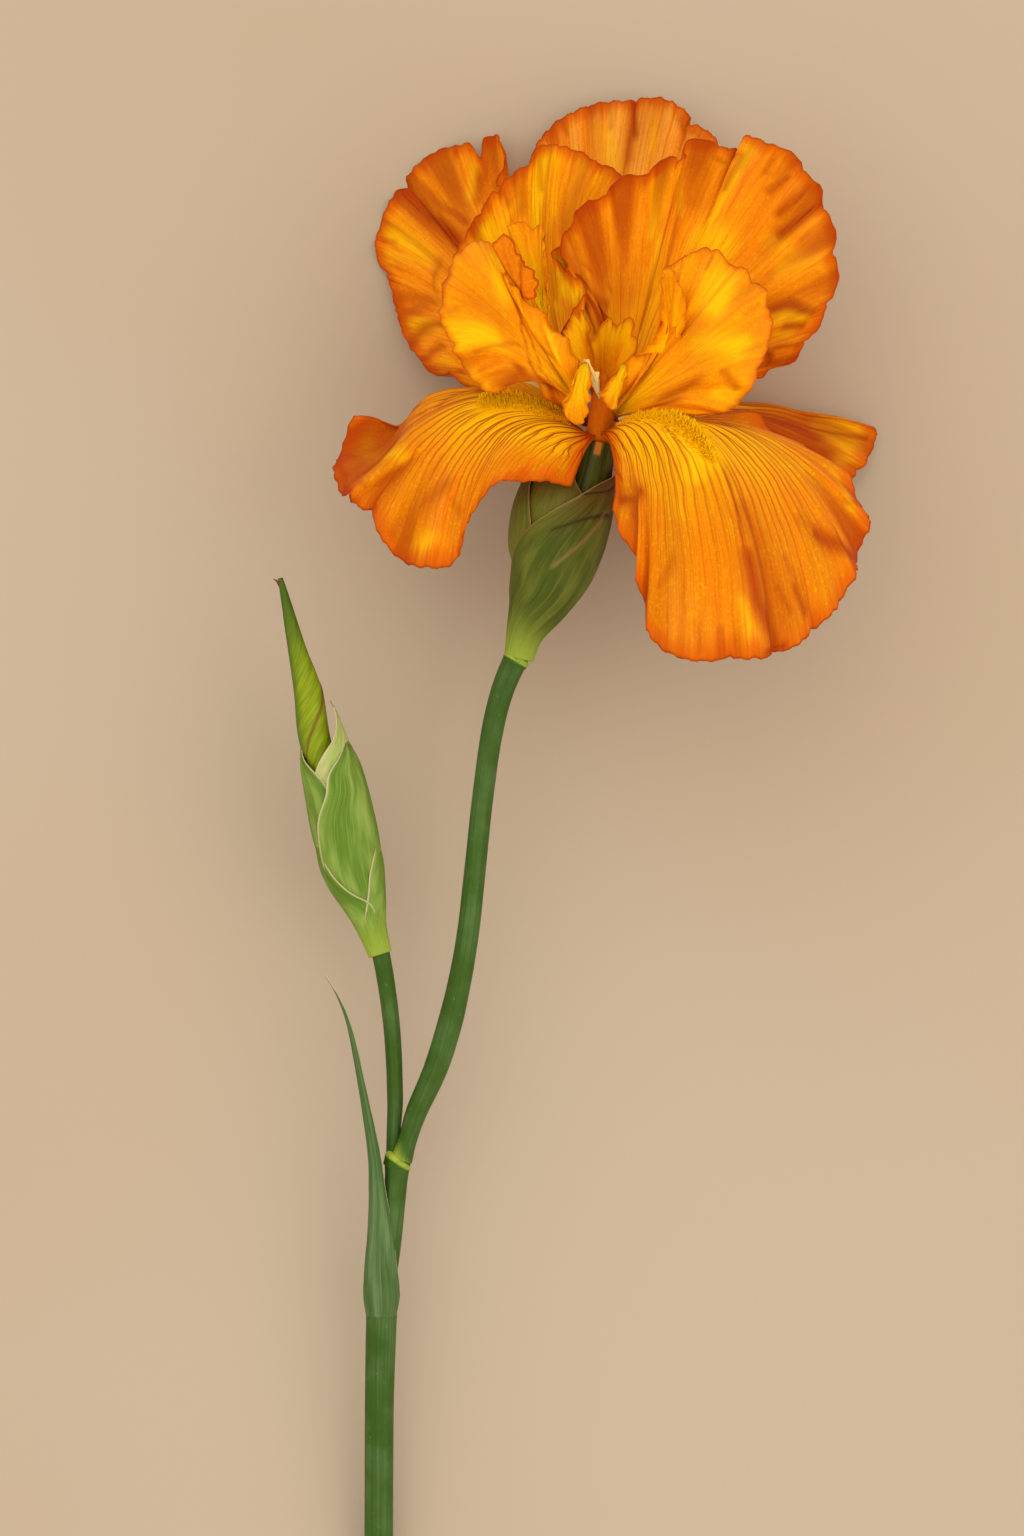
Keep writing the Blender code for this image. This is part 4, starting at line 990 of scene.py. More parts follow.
def sheet(name, middle, thickness, places, layers, material):
    """A closed thin shell round a grid of points, which lie at these places across and along the piece."""
    rows, columns = middle.shape[:2]
    across = np.gradient(middle, axis=1)
    outward = np.gradient(middle, axis=0)
    half = unit(np.cross(across, outward)) * (thickness / 2)[..., None]
    points = np.concatenate([(middle + half).reshape(-1, 3), (middle - half).reshape(-1, 3)])
    index = np.arange(rows * columns).reshape(rows, columns)
    top = np.stack([index[:-1, :-1], index[:-1, 1:], index[1:, 1:], index[1:, :-1]], axis=-1).reshape(-1, 4)
    under = top[:, ::-1] + rows * columns
    ring = np.concatenate([index[0, :-1], index[:-1, -1], index[-1, :0:-1], index[:0:-1, 0]])
    after = np.roll(ring, -1)
    edge = np.stack([ring, ring + rows * columns, after + rows * columns, after], axis=-1)
    faces = np.concatenate([top, under, edge]).tolist()
    doubled = {layer: np.tile(values.ravel(), 2) for layer, values in layers.items()}
    uv = np.tile(np.stack(places, axis=-1).reshape(-1, 2), (2, 1))
    return new_piece(name, points, faces, doubled, uv, material)


def edge_distance(middle):
    """Millimetres from each point of a sheet's grid to its nearest free edge."""
    along_rib = np.linalg.norm(np.diff(middle, axis=0), axis=-1)
    to_rim = np.concatenate([np.cumsum(along_rib[::-1], axis=0)[::-1], np.zeros((1, middle.shape[1]))])
    across = np.linalg.norm(np.diff(middle, axis=1), axis=-1)
    zero = np.zeros((middle.shape[0], 1))
    from_left = np.concatenate([zero, np.cumsum(across, axis=1)], axis=1)
    from_right = np.concatenate([np.cumsum(across[:, ::-1], axis=1)[:, ::-1], zero], axis=1)
    return np.minimum(to_rim, np.minimum(from_left, from_right))


def dress(piece, node):
    """Hangs a finished piece on the plant in the place of its plain solid."""
    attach(piece, "root")
    if node:
        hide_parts(node)
    return piece


def make_petal(node, material, mesh):
    """A petal or crest, with more of its points near the rim."""
    petal = Petal(node)
    s, t = grid(mesh)
    t = 1 - (1 - t) ** RIM_CROWDING
    middle, lift = petal.surface(s, t)
    look = looks("petals")
    width = np.linalg.norm(petal.directions(s, t)[0], axis=-1)
    from_midrib = (s - petal.relief["midrib"]) * width
    thickness = (look.thickness + (look.rim_thickness - look.thickness) * smooth(t * 1.1)) / MM
    thickness = thickness + RIB_THICKNESS * bump(from_midrib, RIB_REACH) * (1 - t)
    layers = {
        "edge": edge_distance(middle),
        "width": width,
        "lift": lift,
        "yellow_and_painted_light": petal.strokes("yellow_and_painted_light", s, t),
        "shade": petal.strokes("shade", s, t),
        "beard": petal.strokes("beard", s, t),
        "rib": bump(from_midrib, RIB_LINE_REACH),
    }
    piece = sheet(node + "_petal", middle, thickness, (s, t), layers, material)
    return dress(piece, node if node in PETALS else None)


def wrapped(axis_rows, t, radius, angle):
    """Points at an angle round an axis, at t along it: 0 is towards +X and a quarter turn the front."""
    rows = np.asarray(axis_rows, float)[:, :3]
    here = through(rows, t)
    forward = through(rows, t + SLOPE_STEP) - through(rows, t - SLOPE_STEP)
    sideways = unit(np.stack([forward[..., 1], -forward[..., 0], 0 * t], axis=-1))
    front = unit(np.cross(sideways, forward))
    return here + radius[..., None] * (np.cos(angle)[..., None] * sideways + np.sin(angle)[..., None] * front)


def stretched(route, start, end):
    """A route whose first and last points reach further out, in millimetres."""
    rows = np.array(route, float)
    rows[0, :3] += unit(rows[0, :3] - rows[1, :3]) * start
    rows[-1, :3] += unit(rows[-1, :3] - rows[-2, :3]) * end
    return rows


def narrowed(ring, shares):
    """Copies of a ring of points, drawn in towards its middle by these shares."""
    centre = ring.mean(axis=0)
    return centre + (ring - centre) * shares[:, None, None]


def tube(name, route, mesh, relief, material, layers=None):
    """A closed tube along a route, whose radius relief(turn, t) changes; its ends are rounded in."""
    around, rows = mesh
    cap = np.array(TUBE_CAP)
    turn, t = np.meshgrid(np.arange(around) / around, np.linspace(0, 1, rows))
    radius = through([[row[3]] for row in route], t)[..., 0] * relief(turn, t)
    points = wrapped(route, t, radius, turn * 2 * math.pi)
    points = np.concatenate([narrowed(points[0], cap), points, narrowed(points[-1], cap[::-1])])
    along = np.pad(np.linspace(0, 1, rows), len(cap), mode="edge")
    index = np.arange(len(along) * around).reshape(len(along), around)
    ahead = np.roll(index, -1, axis=1)
    sides = np.stack([index[:-1], ahead[:-1], ahead[1:], index[1:]], axis=-1).reshape(-1, 4)
    faces = sides.tolist() + [index[0, ::-1].tolist(), index[-1].tolist()]
    uv = np.stack(np.meshgrid(np.arange(around) / around, along), axis=-1)
    values = {"cut": np.repeat(np.arange(len(along)) < len(cap), around)}
    for layer, value in (layers or {}).items():
        values[layer] = value(uv[..., 0], uv[..., 1]).ravel()
    return new_piece(name, points.reshape(-1, 3), faces, values, uv.reshape(-1, 2), material)


def hairs(name, roots, tips, widths, bends, layers, material):
    """Many tapered hairs in one mesh, each of three rings of three points and a tip."""
    count = len(roots)
    axis = unit(tips - roots)
    side = unit(np.cross(axis, np.array([0.3, 0.5, 0.81])))
    other = np.cross(axis, side)
    rings = []
    for share, thick in HAIR_RINGS:
        centre = roots + (tips - roots) * share + bends * share**2
        for corner in range(3):
            angle = corner * 2 * math.pi / 3
            around = math.cos(angle) * side + math.sin(angle) * other
            rings.append(centre + around * (widths * thick / 2)[:, None])
    rings.append(tips + bends)
    points = np.stack(rings, axis=1)
    tip = 3 * len(HAIR_RINGS)
    last = tip - 3
    base = np.arange(count)[:, None] * (tip + 1)
    quads = []
    for ring in range(0, last, 3):
        for corner in range(3):
            following = (corner + 1) % 3
            quads.append(base + [[ring + corner, ring + following, ring + 3 + following, ring + 3 + corner]])
    ends = [base + [[last + corner, last + (corner + 1) % 3, tip]] for corner in range(3)]
    ends.append(base + [[2, 1, 0]])
    faces = np.concatenate(quads).tolist() + np.concatenate(ends).tolist()
    rise = np.tile([*np.repeat([share for share, _ in HAIR_RINGS], 3), 1.0], count)
    values = {layer: np.repeat(value, tip + 1) for layer, value in layers.items()}
    values["rise"] = rise
    uv = np.stack([np.repeat(np.linspace(0, 1, count), tip + 1), rise], axis=-1)
    return new_piece(name, points.reshape(-1, 3), faces, values, uv, material)


def make_beard(node, material, seed):
    """A beard of short hairs along its fall's midrib, with a few tall ones in a fringe."""
    fall, middle, first, last, half_width, fringe_side = BEARDS[node]
    petal = Petal(fall)
    rng = np.random.default_rng(seed)
    count = BEARD_HAIRS
    along_beard = rng.uniform(0, 1, count)
    t = first + (last - first) * along_beard
    width = np.linalg.norm(petal.directions(np.full(count, middle), t)[0], axis=-1)
    taper = np.sqrt(np.clip(1.15 - (2 * along_beard - 0.85) ** 2 * 0.8, 0.1, 1))
    off = np.clip(rng.normal(0, BEARD_SPREAD, count), -1, 1)
    fringe = rng.uniform(0, 1, count) < FRINGE_SHARE
    off = np.where(fringe, fringe_side + 0.2 * off, off)
    s = middle + off * half_width * taper / width
    across, outward, normal = petal.directions(s, t)
    roots = petal.surface(s, t)[0] - normal * ROOT_DEPTH
    look = looks("beards")
    lean = unit(across) * (off * 0.5)[:, None] + unit(outward) * rng.uniform(-0.2, 0.5, count)[:, None]
    noise = rng.normal(0, HAIR_STRAY, (count, 3))
    direction = unit(np.where(fringe[:, None], np.array(FRINGE_LEAN) + 0.6 * noise, normal + lean + noise))
    length = look.length / MM * rng.uniform(0.55, 1.15, count) * (0.55 + 0.45 * taper) * (1 - 0.25 * off**2)
    length = length * np.where(fringe, FRINGE_LENGTH, 1.0)
    bends = unit(outward) * (HAIR_BEND * length)[:, None] + rng.normal(0, 0.12, (count, 3))
    tips = roots + direction * length[:, None]
    widths = look.width / MM * rng.uniform(0.8, 1.2, count) * np.where(fringe, FRINGE_WIDTH, 1.0)
    layers = {"outer": np.where(fringe, 1.0, along_beard)}
    return dress(hairs(node + "_hairs", roots, tips, widths, bends, layers, material), node)


def make_valve(name, axis_rows, valve, mesh, material, lines=()):
    """A spathe valve: a sheet wrapped round an axis, thin and a little flared at its margins.

    Each of its lines is a path on it, its height in millimetres and its reach: a ridge or a crease."""
    first, last = valve["span"]
    s, t = grid(mesh)
    rows = through(valve["rows"], t)
    height = first + (last - first) * t
    angle = np.radians(rows[..., 0] + (rows[..., 1] - rows[..., 0]) * s)
    radius = through([[row[3]] for row in axis_rows], height)[..., 0] + rows[..., 2]
    width = np.maximum(radius * np.radians(np.abs(rows[..., 0] - rows[..., 1])), 1)
    length = np.linalg.norm(np.diff(np.asarray(axis_rows)[:, :3], axis=0), axis=1).sum() * (last - first)
    ridge, crease = np.zeros_like(s), np.zeros_like(s)
    for path, rise, reach in lines:
        drawn = bump(near_path(s, t, width, length, path), reach)
        radius = radius + rise * drawn
        ridge = np.maximum(ridge, drawn * (rise > 0))
        crease = np.maximum(crease, drawn * (rise < 0))
    flare = np.exp(-s * width / FLARE_REACH) + np.exp(-(1 - s) * width / FLARE_REACH)
    flare = flare * smooth(t * 6) * smooth((1 - t) * 8)
    first_tuck, last_tuck = valve.get("tuck", (0, 0))
    tuck = first_tuck * smooth(1 - s / 0.3) + last_tuck * smooth(s / 0.4 - 1.5)
    across, along = VALVE_HILLS
    pucker = VALVE_PUCKER * hills(s * across, t * along, 8) * smooth(t * 3)
    radius = radius + MARGIN_FLARE * flare - tuck + pucker
    radius = radius + VEIN_HEIGHT * np.cos(s * width * 2 * math.pi / VEIN_SPACING)
    middle = wrapped(axis_rows, height, radius, angle)
    level = axis_rows[0][2]
    middle[..., 2] = level + (middle[..., 2] - level) * SPATHE_FLATNESS
    edge = edge_distance(middle)
    swell, swell_reach = VALVE_SWELL
    thickness = THIN_MARGIN + swell * smooth(edge / swell_reach)
    layers = {"edge": edge, "ridge": ridge, "crease": crease}
    return sheet(name, middle, thickness, (s, t), layers, material)


def make_leaf(node, material):
    """The clasping leaf, which draws in at its base."""
    s, t = grid(LEAF_MESH)
    rows = through(STEM_LEAF, t)
    angle = np.radians(rows[..., 4] + rows[..., 5] * (1 - 2 * s))
    width = rows[..., 3] * 2 * np.radians(rows[..., 5])
    veins = LEAF_VEIN_HEIGHT * np.cos(s * width * 2 * math.pi / LEAF_VEIN_SPACING)
    radius = rows[..., 3] - (1 - smooth(t / 0.08)) + veins
    middle = wrapped(STEM_LEAF, t, radius, angle)
    edge = edge_distance(middle)
    swell, swell_reach = LEAF_SWELL
    thickness = THIN_MARGIN + swell * smooth(edge / swell_reach)
    layers = {"edge": edge}
    piece = sheet(node + "_blade", middle, thickness, (s, t), layers, material)
    return dress(piece, node)


# How each tube's radius changes round it, in turns, and along it.


def grooved(turn, t):
    """A stamen, whose outer part has two deep grooves."""
    return 1 + 0.25 * smooth(t * 4 - 1.6) * np.abs(np.cos(turn * 2 * math.pi))


def ribbed(turn, t):
    """A stalk with sixteen fine ribs, a little uneven."""
    return 1 + 0.009 * np.cos(turn * 2 * math.pi * 16) + 0.012 * hills(turn * 6, t * 20, 3)


def lined(turn, t):
    """Nine shallow ribs."""
    return 1 + 0.01 * np.cos(turn * 2 * math.pi * 9)


def lobed(turn, t):
    """Three lobes that fade along it."""
    return 1 + 0.04 * np.cos(turn * 2 * math.pi * 3) * (1 - t)


def even(turn, t):
    return 1 + 0 * t


def past_margin(turn, t):
    """How far round from the rolled petals' outer margin, which winds up the bud."""
    return turn - 0.02 - (0.49 - t) * 1.9


def rolled(turn, t):
    """Petals rolled over each other, so that the radius steps at the outer margin."""
    return 0.97 + 0.07 * (past_margin(turn, t) % 1.0)


def seam(turn, t):
    """How strongly the lower part of the bud's outer margin shows as a dry line."""
    return bump(past_margin(turn, t) * 24, 0.4) * smooth((0.52 - t) * 30)


# Finishes


class Paint:
    """A material's nodes, laid out by short calls. A value is a number, a colour or a socket."""

    def __init__(self, name, colour):
        self.material = bpy.data.materials.new(name)
        self.material.use_nodes = True
        self.tree = self.material.node_tree
        self.shader = self.tree.nodes["Principled BSDF"]
        self.colour = colour

    def node(self, kind, **settings):
        made = self.tree.nodes.new("ShaderNode" + kind)
        for setting, value in settings.items():
            setattr(made, setting, value)
        return made

    def put(self, value, socket):
        if isinstance(value, bpy.types.NodeSocket):
            self.tree.links.new(value, socket)
        elif isinstance(value, (int, float)):
            socket.default_value = value
        elif len(socket.default_value) == 4:
            socket.default_value = (*value, 1.0)[:4]
        else:
            socket.default_value = value

    def math(self, operation, *values):
        made = self.node("Math", operation=operation)
        for socket, value in zip(made.inputs, values):
            self.put(value, socket)
        return made.outputs[0]

    def plus(self, first, second):
        return self.math("ADD", first, second)

    def minus(self, first, second):
        return self.math("SUBTRACT", first, second)

    def times(self, first, second):
        return self.math("MULTIPLY", first, second)

    def most(self, first, second):
        return self.math("MAXIMUM", first, second)

    def apart(self, first, second):
        """How far two values are from each other."""
        return self.math("ABSOLUTE", self.minus(first, second))

    def step(self, value, low, high, start=0.0, end=1.0):
        """A soft step from start, where the value is at low, to end, where it is at high."""
        made = self.node("MapRange", interpolation_type="SMOOTHSTEP")
        for socket, each in zip(made.inputs, (value, low, high, start, end)):
            self.put(each, socket)
        return made.outputs[0]

    def mix(self, share, first, second):
        made = self.node("Mix", data_type="RGBA")
        for socket, value in zip((made.inputs[0], made.inputs[6], made.inputs[7]), (share, first, second)):
            self.put(value, socket)
        return made.outputs[2]

    def over(self, colour, share, *limits):
        """Lays a colour over the rest by a share, or by a soft step of it within these limits."""
        self.colour = self.mix(self.step(share, *limits) if limits else share, self.colour, colour)

    def attribute(self, name):
        return self.node("Attribute", attribute_name=name).outputs["Fac"]

    def ribs(self):
        """The places across and along a piece's ribs."""
        separate = self.node("SeparateXYZ")
        self.put(self.node("UVMap", uv_map="Ribs").outputs[0], separate.inputs[0])
        return separate.outputs[0], separate.outputs[1]

    def noise(self, vector, scale, detail, roughness=0.5):
        made = self.node("TexNoise")
        settings = {"Vector": vector, "Scale": scale, "Detail": detail, "Roughness": roughness}
        for socket, value in settings.items():
            self.put(value, made.inputs[socket])
        return made.outputs["Fac"]

    def flat_noise(self, x, y, detail, roughness=0.5):
        """Noise with about one spot to a unit of two values."""
        joined = self.node("CombineXYZ")
        self.put(x, joined.inputs[0])
        self.put(y, joined.inputs[1])
        return self.noise(joined.outputs[0], 1.0, detail, roughness)

    def streaks(self, across, along, detail=2.0, roughness=0.5):
        """Noise stretched along the ribs, with so many spots across and along the piece."""
        s, t = self.ribs()
        return self.flat_noise(self.times(s, across), self.times(t, along), detail, roughness)

    def grain(self, scale, detail=2.0):
        """Noise fixed to the piece, in bumps per metre."""
        return self.noise(self.node("TexCoord").outputs["Object"], scale, detail)

    def veins(self, count, start, end, width):
        """Lines along the ribs, width millimetres thick, that fork between start and end along them."""
        s, t = self.ribs()
        waver = self.times(self.minus(self.streaks(7, 5), 0.5), VEIN_WAVER)
        cells = self.times(self.plus(s, waver), count)
        fork = self.step(t, start, end, 0.0, 0.5)
        spacing = self.math("DIVIDE", self.attribute("width"), count)
        lines = []
        for side in (0.0, 1.0):
            offset = self.plus(cells, self.times(fork, side))
            gap = self.apart(self.math("FRACT", offset), 0.5)
            lines.append(self.step(self.times(gap, spacing), width * 0.25, width, 1.0, 0.0))
        return self.most(*lines)

    def finish(self, socket, value):
        self.put(value, self.shader.inputs[socket])

    def gloss(self, rough, level, tint, weight, radius, scale):
        """How rough it is, how strong and of what tint its highlights are, and how light soaks in."""
        self.finish("Roughness", rough)
        self.finish("Specular IOR Level", level)
        self.finish("Specular Tint", tint)
        self.finish("Subsurface Weight", weight)
        self.finish("Subsurface Radius", radius)
        self.finish("Subsurface Scale", scale)

    def relief(self, height, depth):
        """Fine relief from a height between 0 and 1, so many metres deep."""
        made = self.node("Bump")
        self.put(height, made.inputs["Height"])
        self.put(depth, made.inputs["Distance"])
        self.finish("Normal", made.outputs[0])

    def done(self):
        """The material, in the colours that were laid over each other."""
        self.finish("Base Color", self.colour)
        return self.material


def darker(colour, share):
    return tuple(value * share for value in colour)


def petal_paint(name, kind, body):
    """Orange petal with painted shade at its foot and in its hollows, painted highlights on its ridges, a
    yellow heart, a streaky rim and veins along its ribs.
    """
    look = looks("petals")
    veins, heart_reach, rim_reach, bold = PETAL_MARKS[kind]
    paint = Paint(name, body)
    _, t = paint.ribs()
    patches = paint.streaks(9, 2.5, 3.0)
    broad = paint.streaks(34, 1.6)
    fine = paint.streaks(150, 5, 3.0, 0.65)
    speckle = paint.grain(1000.0, 3.0)
    edge, lift = paint.attribute("edge"), paint.attribute("lift")
    paint.over(look.deep, broad, 0.42, 0.7, 0.0, 0.8)
    paint.over(look.heart, speckle, 0.5, 0.75, 0.0, 0.4)
    paint.over(look.deep, speckle, 0.25, 0.48, 0.4, 0.0)
    heart = paint.step(paint.plus(t, paint.times(patches, 0.25)), *heart_reach, 1.0, 0.0)
    # Yellow heart, with the strokes of yellow and painted light.
    paint.over(look.heart, paint.most(heart, paint.step(paint.attribute("yellow_and_painted_light"), 0.0, 0.8)))
    paint.over(look.blush_and_highlight, patches, 0.45, 0.75, 0.0, 0.4 * bold)
    # Painted highlight: pinkish on the relief's raised places.
    paint.over(look.blush_and_highlight, lift, 0.4, 3.0, 0.0, 0.3)
    streaky = paint.plus(paint.times(broad, 1.2), paint.times(fine, 0.9))
    inward = paint.minus(edge, paint.times(streaky, rim_reach))
    paint.over(look.rim, inward, -rim_reach * 0.9, rim_reach * 0.2, 0.9 * bold, 0.0)
    paint.over(look.line, inward, -rim_reach * 1.6, -rim_reach * 0.7, 0.7 * bold**2, 0.0)
    paint.over(look.line, edge, 0.15, 1.0, 0.55 * bold, 0.0)
    paint.over(look.rim, fine, 0.42, 0.7, 0.0, 0.5 * bold)
    # Painted shade: red-brown in the relief's low places and along the shade strokes, broken by streaks.
    painted_shade = paint.most(paint.step(lift, -0.2, -2.2, 0.0, 0.75 * bold), paint.attribute("shade"))
    paint.over(look.shadow, paint.times(painted_shade, paint.step(fine, 0.25, 0.65, 1.05, 0.8)))
    for count, start, end, width, strength, inner, outer in veins:
        fade = paint.step(t, inner, outer, strength, strength * 0.15)
        paint.over(look.vein, paint.times(paint.veins(count, start, end, width), fade))
    paint.over(look.vein, paint.times(paint.attribute("rib"), 0.4 * bold))
    paint.over(look.heart, paint.attribute("beard"))
    # Painted shade: red-brown at the foot, where the petals meet in the throat.
    paint.over(look.shadow, t, 0.02, 0.24 * bold, 0.75 * bold, 0.0)
    rough = paint.step(fine, 0.3, 0.7, 0.42, 0.6)
    paint.gloss(rough, level=0.25, tint=(1.0, 0.55, 0.1), weight=0.12, radius=(0.8, 0.5, 0.1), scale=0.0008)
    height = paint.plus(paint.times(fine, 0.6), paint.times(paint.grain(2600.0), 0.4))
    paint.relief(height, depth=0.00035)
    return paint.done()


def beard_paint():
    """Yellow hairs, more orange at their roots and deep in the flower."""
    look = looks("beards")
    paint = Paint("beard_hairs", look.inner)
    paint.over(look.outer, paint.attribute("outer"), 0.0, 0.4)
    paint.over(look.inner, paint.attribute("rise"), 0.0, 0.8, 0.3, 0.0)
    paint.over(look.inner, paint.grain(900.0), 0.45, 0.8, 0.0, 0.3)
    paint.gloss(0.6, level=0.2, tint=(1.0, 0.7, 0.2), weight=0.2, radius=(1.0, 0.6, 0.1), scale=0.0004)
    return paint.done()


def stamen_paint(name):
    """Cream, yellow in places."""
    paint = Paint(name, FILAMENT_CREAM)
    _, t = paint.ribs()
    paint.over(ANTHER_CREAM, t, 0.3, 0.6)
    paint.over(looks("petals").heart, paint.grain(1500.0), 0.4, 0.7, 0.0, 0.5)
    paint.finish("Roughness", 0.6)
    paint.relief(paint.grain(3000.0), depth=0.0002)
    return paint.done()


def green_done(paint, lines, rough):
    """Finishes a green piece with the soft waxy gloss and the fine ribs that they all share."""
    rough = paint.step(lines, 0.3, 0.7, rough, rough + 0.16)
    paint.gloss(rough, level=0.3, tint=(0.9, 1.0, 0.55), weight=0.08, radius=(0.4, 0.8, 0.1), scale=0.0008)
    height = paint.plus(paint.times(lines, 0.8), paint.times(paint.grain(2000.0), 0.3))
    paint.relief(height, depth=0.00025)
    return paint.done()


def stem_paint(name, pale_reach):
    """Waxy green stalk with fine lengthwise ribs and a pale cut end, yellow-green where it starts."""
    look = looks("greens")
    paint = Paint(name, darker(look.stem, 0.72))
    s, t = paint.ribs()
    lines = paint.streaks(46, 2.5, 3.0, 0.6)
    blotches = paint.grain(90.0, 3.0)
    paint.over(look.stem, lines, 0.32, 0.68)
    wax = paint.times(paint.step(blotches, 0.35, 0.7), paint.step(lines, 0.3, 0.7, 0.2, 1.0))
    paint.over(look.wax, paint.times(wax, 0.35))
    paint.over(look.wax, paint.grain(700.0), 0.68, 0.75, 0.0, 0.3)
    if pale_reach:
        uneven = paint.plus(t, paint.times(paint.minus(lines, 0.5), pale_reach * 0.5))
        uneven = paint.plus(uneven, paint.times(paint.apart(s, 0.4), pale_reach * 2.5))
        paint.over(look.collar, uneven, 0.0, pale_reach, 1.0, 0.0)
    pith = paint.mix(paint.step(paint.grain(1600.0), 0.5, 0.62), PITH_PALE, PITH_GREEN)
    paint.over(pith, paint.attribute("cut"))
    return green_done(paint, lines, 0.36)


def collar_paint():
    """The pale ring where stalks join."""
    look = looks("greens")
    paint = Paint("collar_green", darker(look.collar, 0.8))
    _, t = paint.ribs()
    lines = paint.streaks(30, 2.0)
    paint.over(look.collar, lines, 0.35, 0.7)
    paint.over(look.stem, t, 0.35, 0.6, 1.0, 0.0)
    paint.over(look.dry, paint.grain(600.0), 0.6, 0.75, 0.0, 0.4)
    return green_done(paint, lines, 0.4)


def valve_paint(name, kind, body, pale, margin):
    """Green valve or leaf with parallel veins, a papery margin, brown creases and a dry tip."""
    look = looks("greens")
    margin_reach, base_reach, tip_dry, bold = VALVE_MARKS[kind]
    paint = Paint(name, darker(body, 1 - 0.38 * bold))
    _, t = paint.ribs()
    lines = paint.streaks(80, 2.0, 3.0, 0.68)
    broad = paint.streaks(8, 1.8, 3.0, 0.6)
    paint.over(body, lines, 0.34, 0.6)
    paint.over(pale, lines, 0.55, 0.72, 0.0, 0.7 * bold)
    paint.over(pale, broad, 0.45, 0.7, 0.0, 0.75 * bold)
    paint.over(look.stem, broad, 0.25, 0.45, 0.6 * bold, 0.0)
    paint.over(pale, paint.streaks(5, 2.4, 3.0), 0.4, 0.7, 0.0, 0.5)
    if base_reach:
        start = paint.plus(t, paint.times(paint.minus(lines, 0.5), base_reach))
        paint.over(look.collar, start, 0.0, base_reach, 0.75, 0.0)
    if tip_dry < 1:
        paint.over(look.dry, paint.times(paint.step(t, tip_dry, 1.0), paint.step(lines, 0.3, 0.6, 0.5, 0.95)))
    paint.over(darker(look.dry, 0.25), paint.times(paint.attribute("crease"), 0.9))
    paint.over(margin, paint.times(paint.attribute("ridge"), 0.5))
    inward = paint.plus(paint.attribute("edge"), paint.times(lines, margin_reach * 0.6))
    papery = paint.step(inward, margin_reach * 0.3, margin_reach * 1.3, 0.8, 0.0)
    if base_reach:
        papery = paint.times(papery, paint.step(t, base_reach * 0.5, base_reach))
    paint.over(margin, papery)
    return green_done(paint, lines, 0.42)


def bud_paint():
    """Rolled yellow-green petals, wrinkled on the slant, greener on one side and dry at their tip."""
    look = looks("greens")
    paint = Paint("bud_rolled", darker(look.bud, 0.62))
    s, t = paint.ribs()
    slanted = paint.plus(paint.times(t, 64.0), paint.times(s, 22.0))
    wrinkles = paint.flat_noise(paint.times(s, 4.0), slanted, 3.0)
    paint.over(look.bud, wrinkles, 0.32, 0.7)
    paint.over(look.stem, paint.apart(s, 0.22), 0.1, 0.24, 0.0, 0.75)
    paint.over(darker(look.stem, 0.8), t, 0.5, 0.85, 0.0, 0.85)
    paint.over(look.dry, paint.attribute("seam"))
    paint.over(look.dry, t, 0.975, 0.99, 0.0, 0.8)
    return green_done(paint, wrinkles, 0.34)


def tube_paint():
    """Dark olive tube under the flower, with an orange strip where the petals begin."""
    paint = Paint("perianth_olive", TUBE_DARK)
    s, t = paint.ribs()
    lines = paint.streaks(26, 1.5, 3.0, 0.6)
    paint.over(TUBE_OLIVE, lines, 0.3, 0.7)
    strip = paint.step(paint.apart(s, 0.24), 0.02, 0.035, 1.0, 0.0)
    paint.over(TUBE_STRIP, paint.times(strip, paint.step(t, 0.8, 0.84)))
    return green_done(paint, lines, 0.4)


def dry_paint(name, colour):
    """Brown and mottled."""
    paint = Paint(name, darker(colour, 0.4))
    paint.over(colour, paint.grain(900.0), 0.3, 0.7)
    paint.finish("Roughness", 0.7)
    return paint.done()


def floor_paint(colour):
    """Even and matt, a little lighter in broad patches."""
    paint = Paint("floor_beige", colour)
    paint.over((1, 1, 1), paint.grain(3.0), 0.3, 0.7, 0.0, 0.04)
    paint.finish("Roughness", 0.9)
    paint.finish("Specular IOR Level", 0.1)
    return paint.done()


# Operators


class IRIS_OT_falls(Operator):
    """Make the three hanging petals"""

    bl_idname = "iris.falls"
    bl_label = "Falls"

    def execute(self, context):
        material = petal_paint("fall_orange", "fall", looks("petals").fall)
        for node in ("left_fall", "right_fall", "back_fall"):
            make_petal(node, material, PETAL_MESH)
        return {"FINISHED"}


class IRIS_OT_standards(Operator):
    """Make the upright petals"""

    bl_idname = "iris.standards"
    bl_label = "Standards"

    def execute(self, context):
        look = looks("petals")
        bodies = {"back_standard": look.back, "middle_standard": look.middle}
        for node in ("left_standard", "back_standard", "middle_standard", "right_standard"):
            material = petal_paint(node + "_orange", "standard", bodies.get(node, look.standard))
            make_petal(node, material, PETAL_MESH)
        return {"FINISHED"}


class IRIS_OT_style_arms(Operator):
    """Make the petal-like arms over the beards, with their crests"""

    bl_idname = "iris.style_arms"
    bl_label = "Style arms"

    def execute(self, context):
        look = looks("petals")
        material = petal_paint("style_yellow", "style", look.style)
        for node in ("left_style_arm", "right_style_arm", "back_style_arm"):
            make_petal(node, material, STYLE_MESH)
        finishes = {
            "left_style_crest": petal_paint("crest_orange", "curled_crest", look.deep),
            "left_style_lip": stamen_paint("lip_cream"),
        }
        plain = petal_paint("crest_yellow", "crest", look.style)
        for name in CRESTS:
            make_petal(name, finishes.get(name, plain), CREST_MESH)
        return {"FINISHED"}


class IRIS_OT_beards(Operator):
    """Make the beards hair by hair"""

    bl_idname = "iris.beards"
    bl_label = "Beards"

    def execute(self, context):
        material = beard_paint()
        for seed, node in enumerate(BEARDS, start=BEARD_SEED):
            make_beard(node, material, seed)
        return {"FINISHED"}


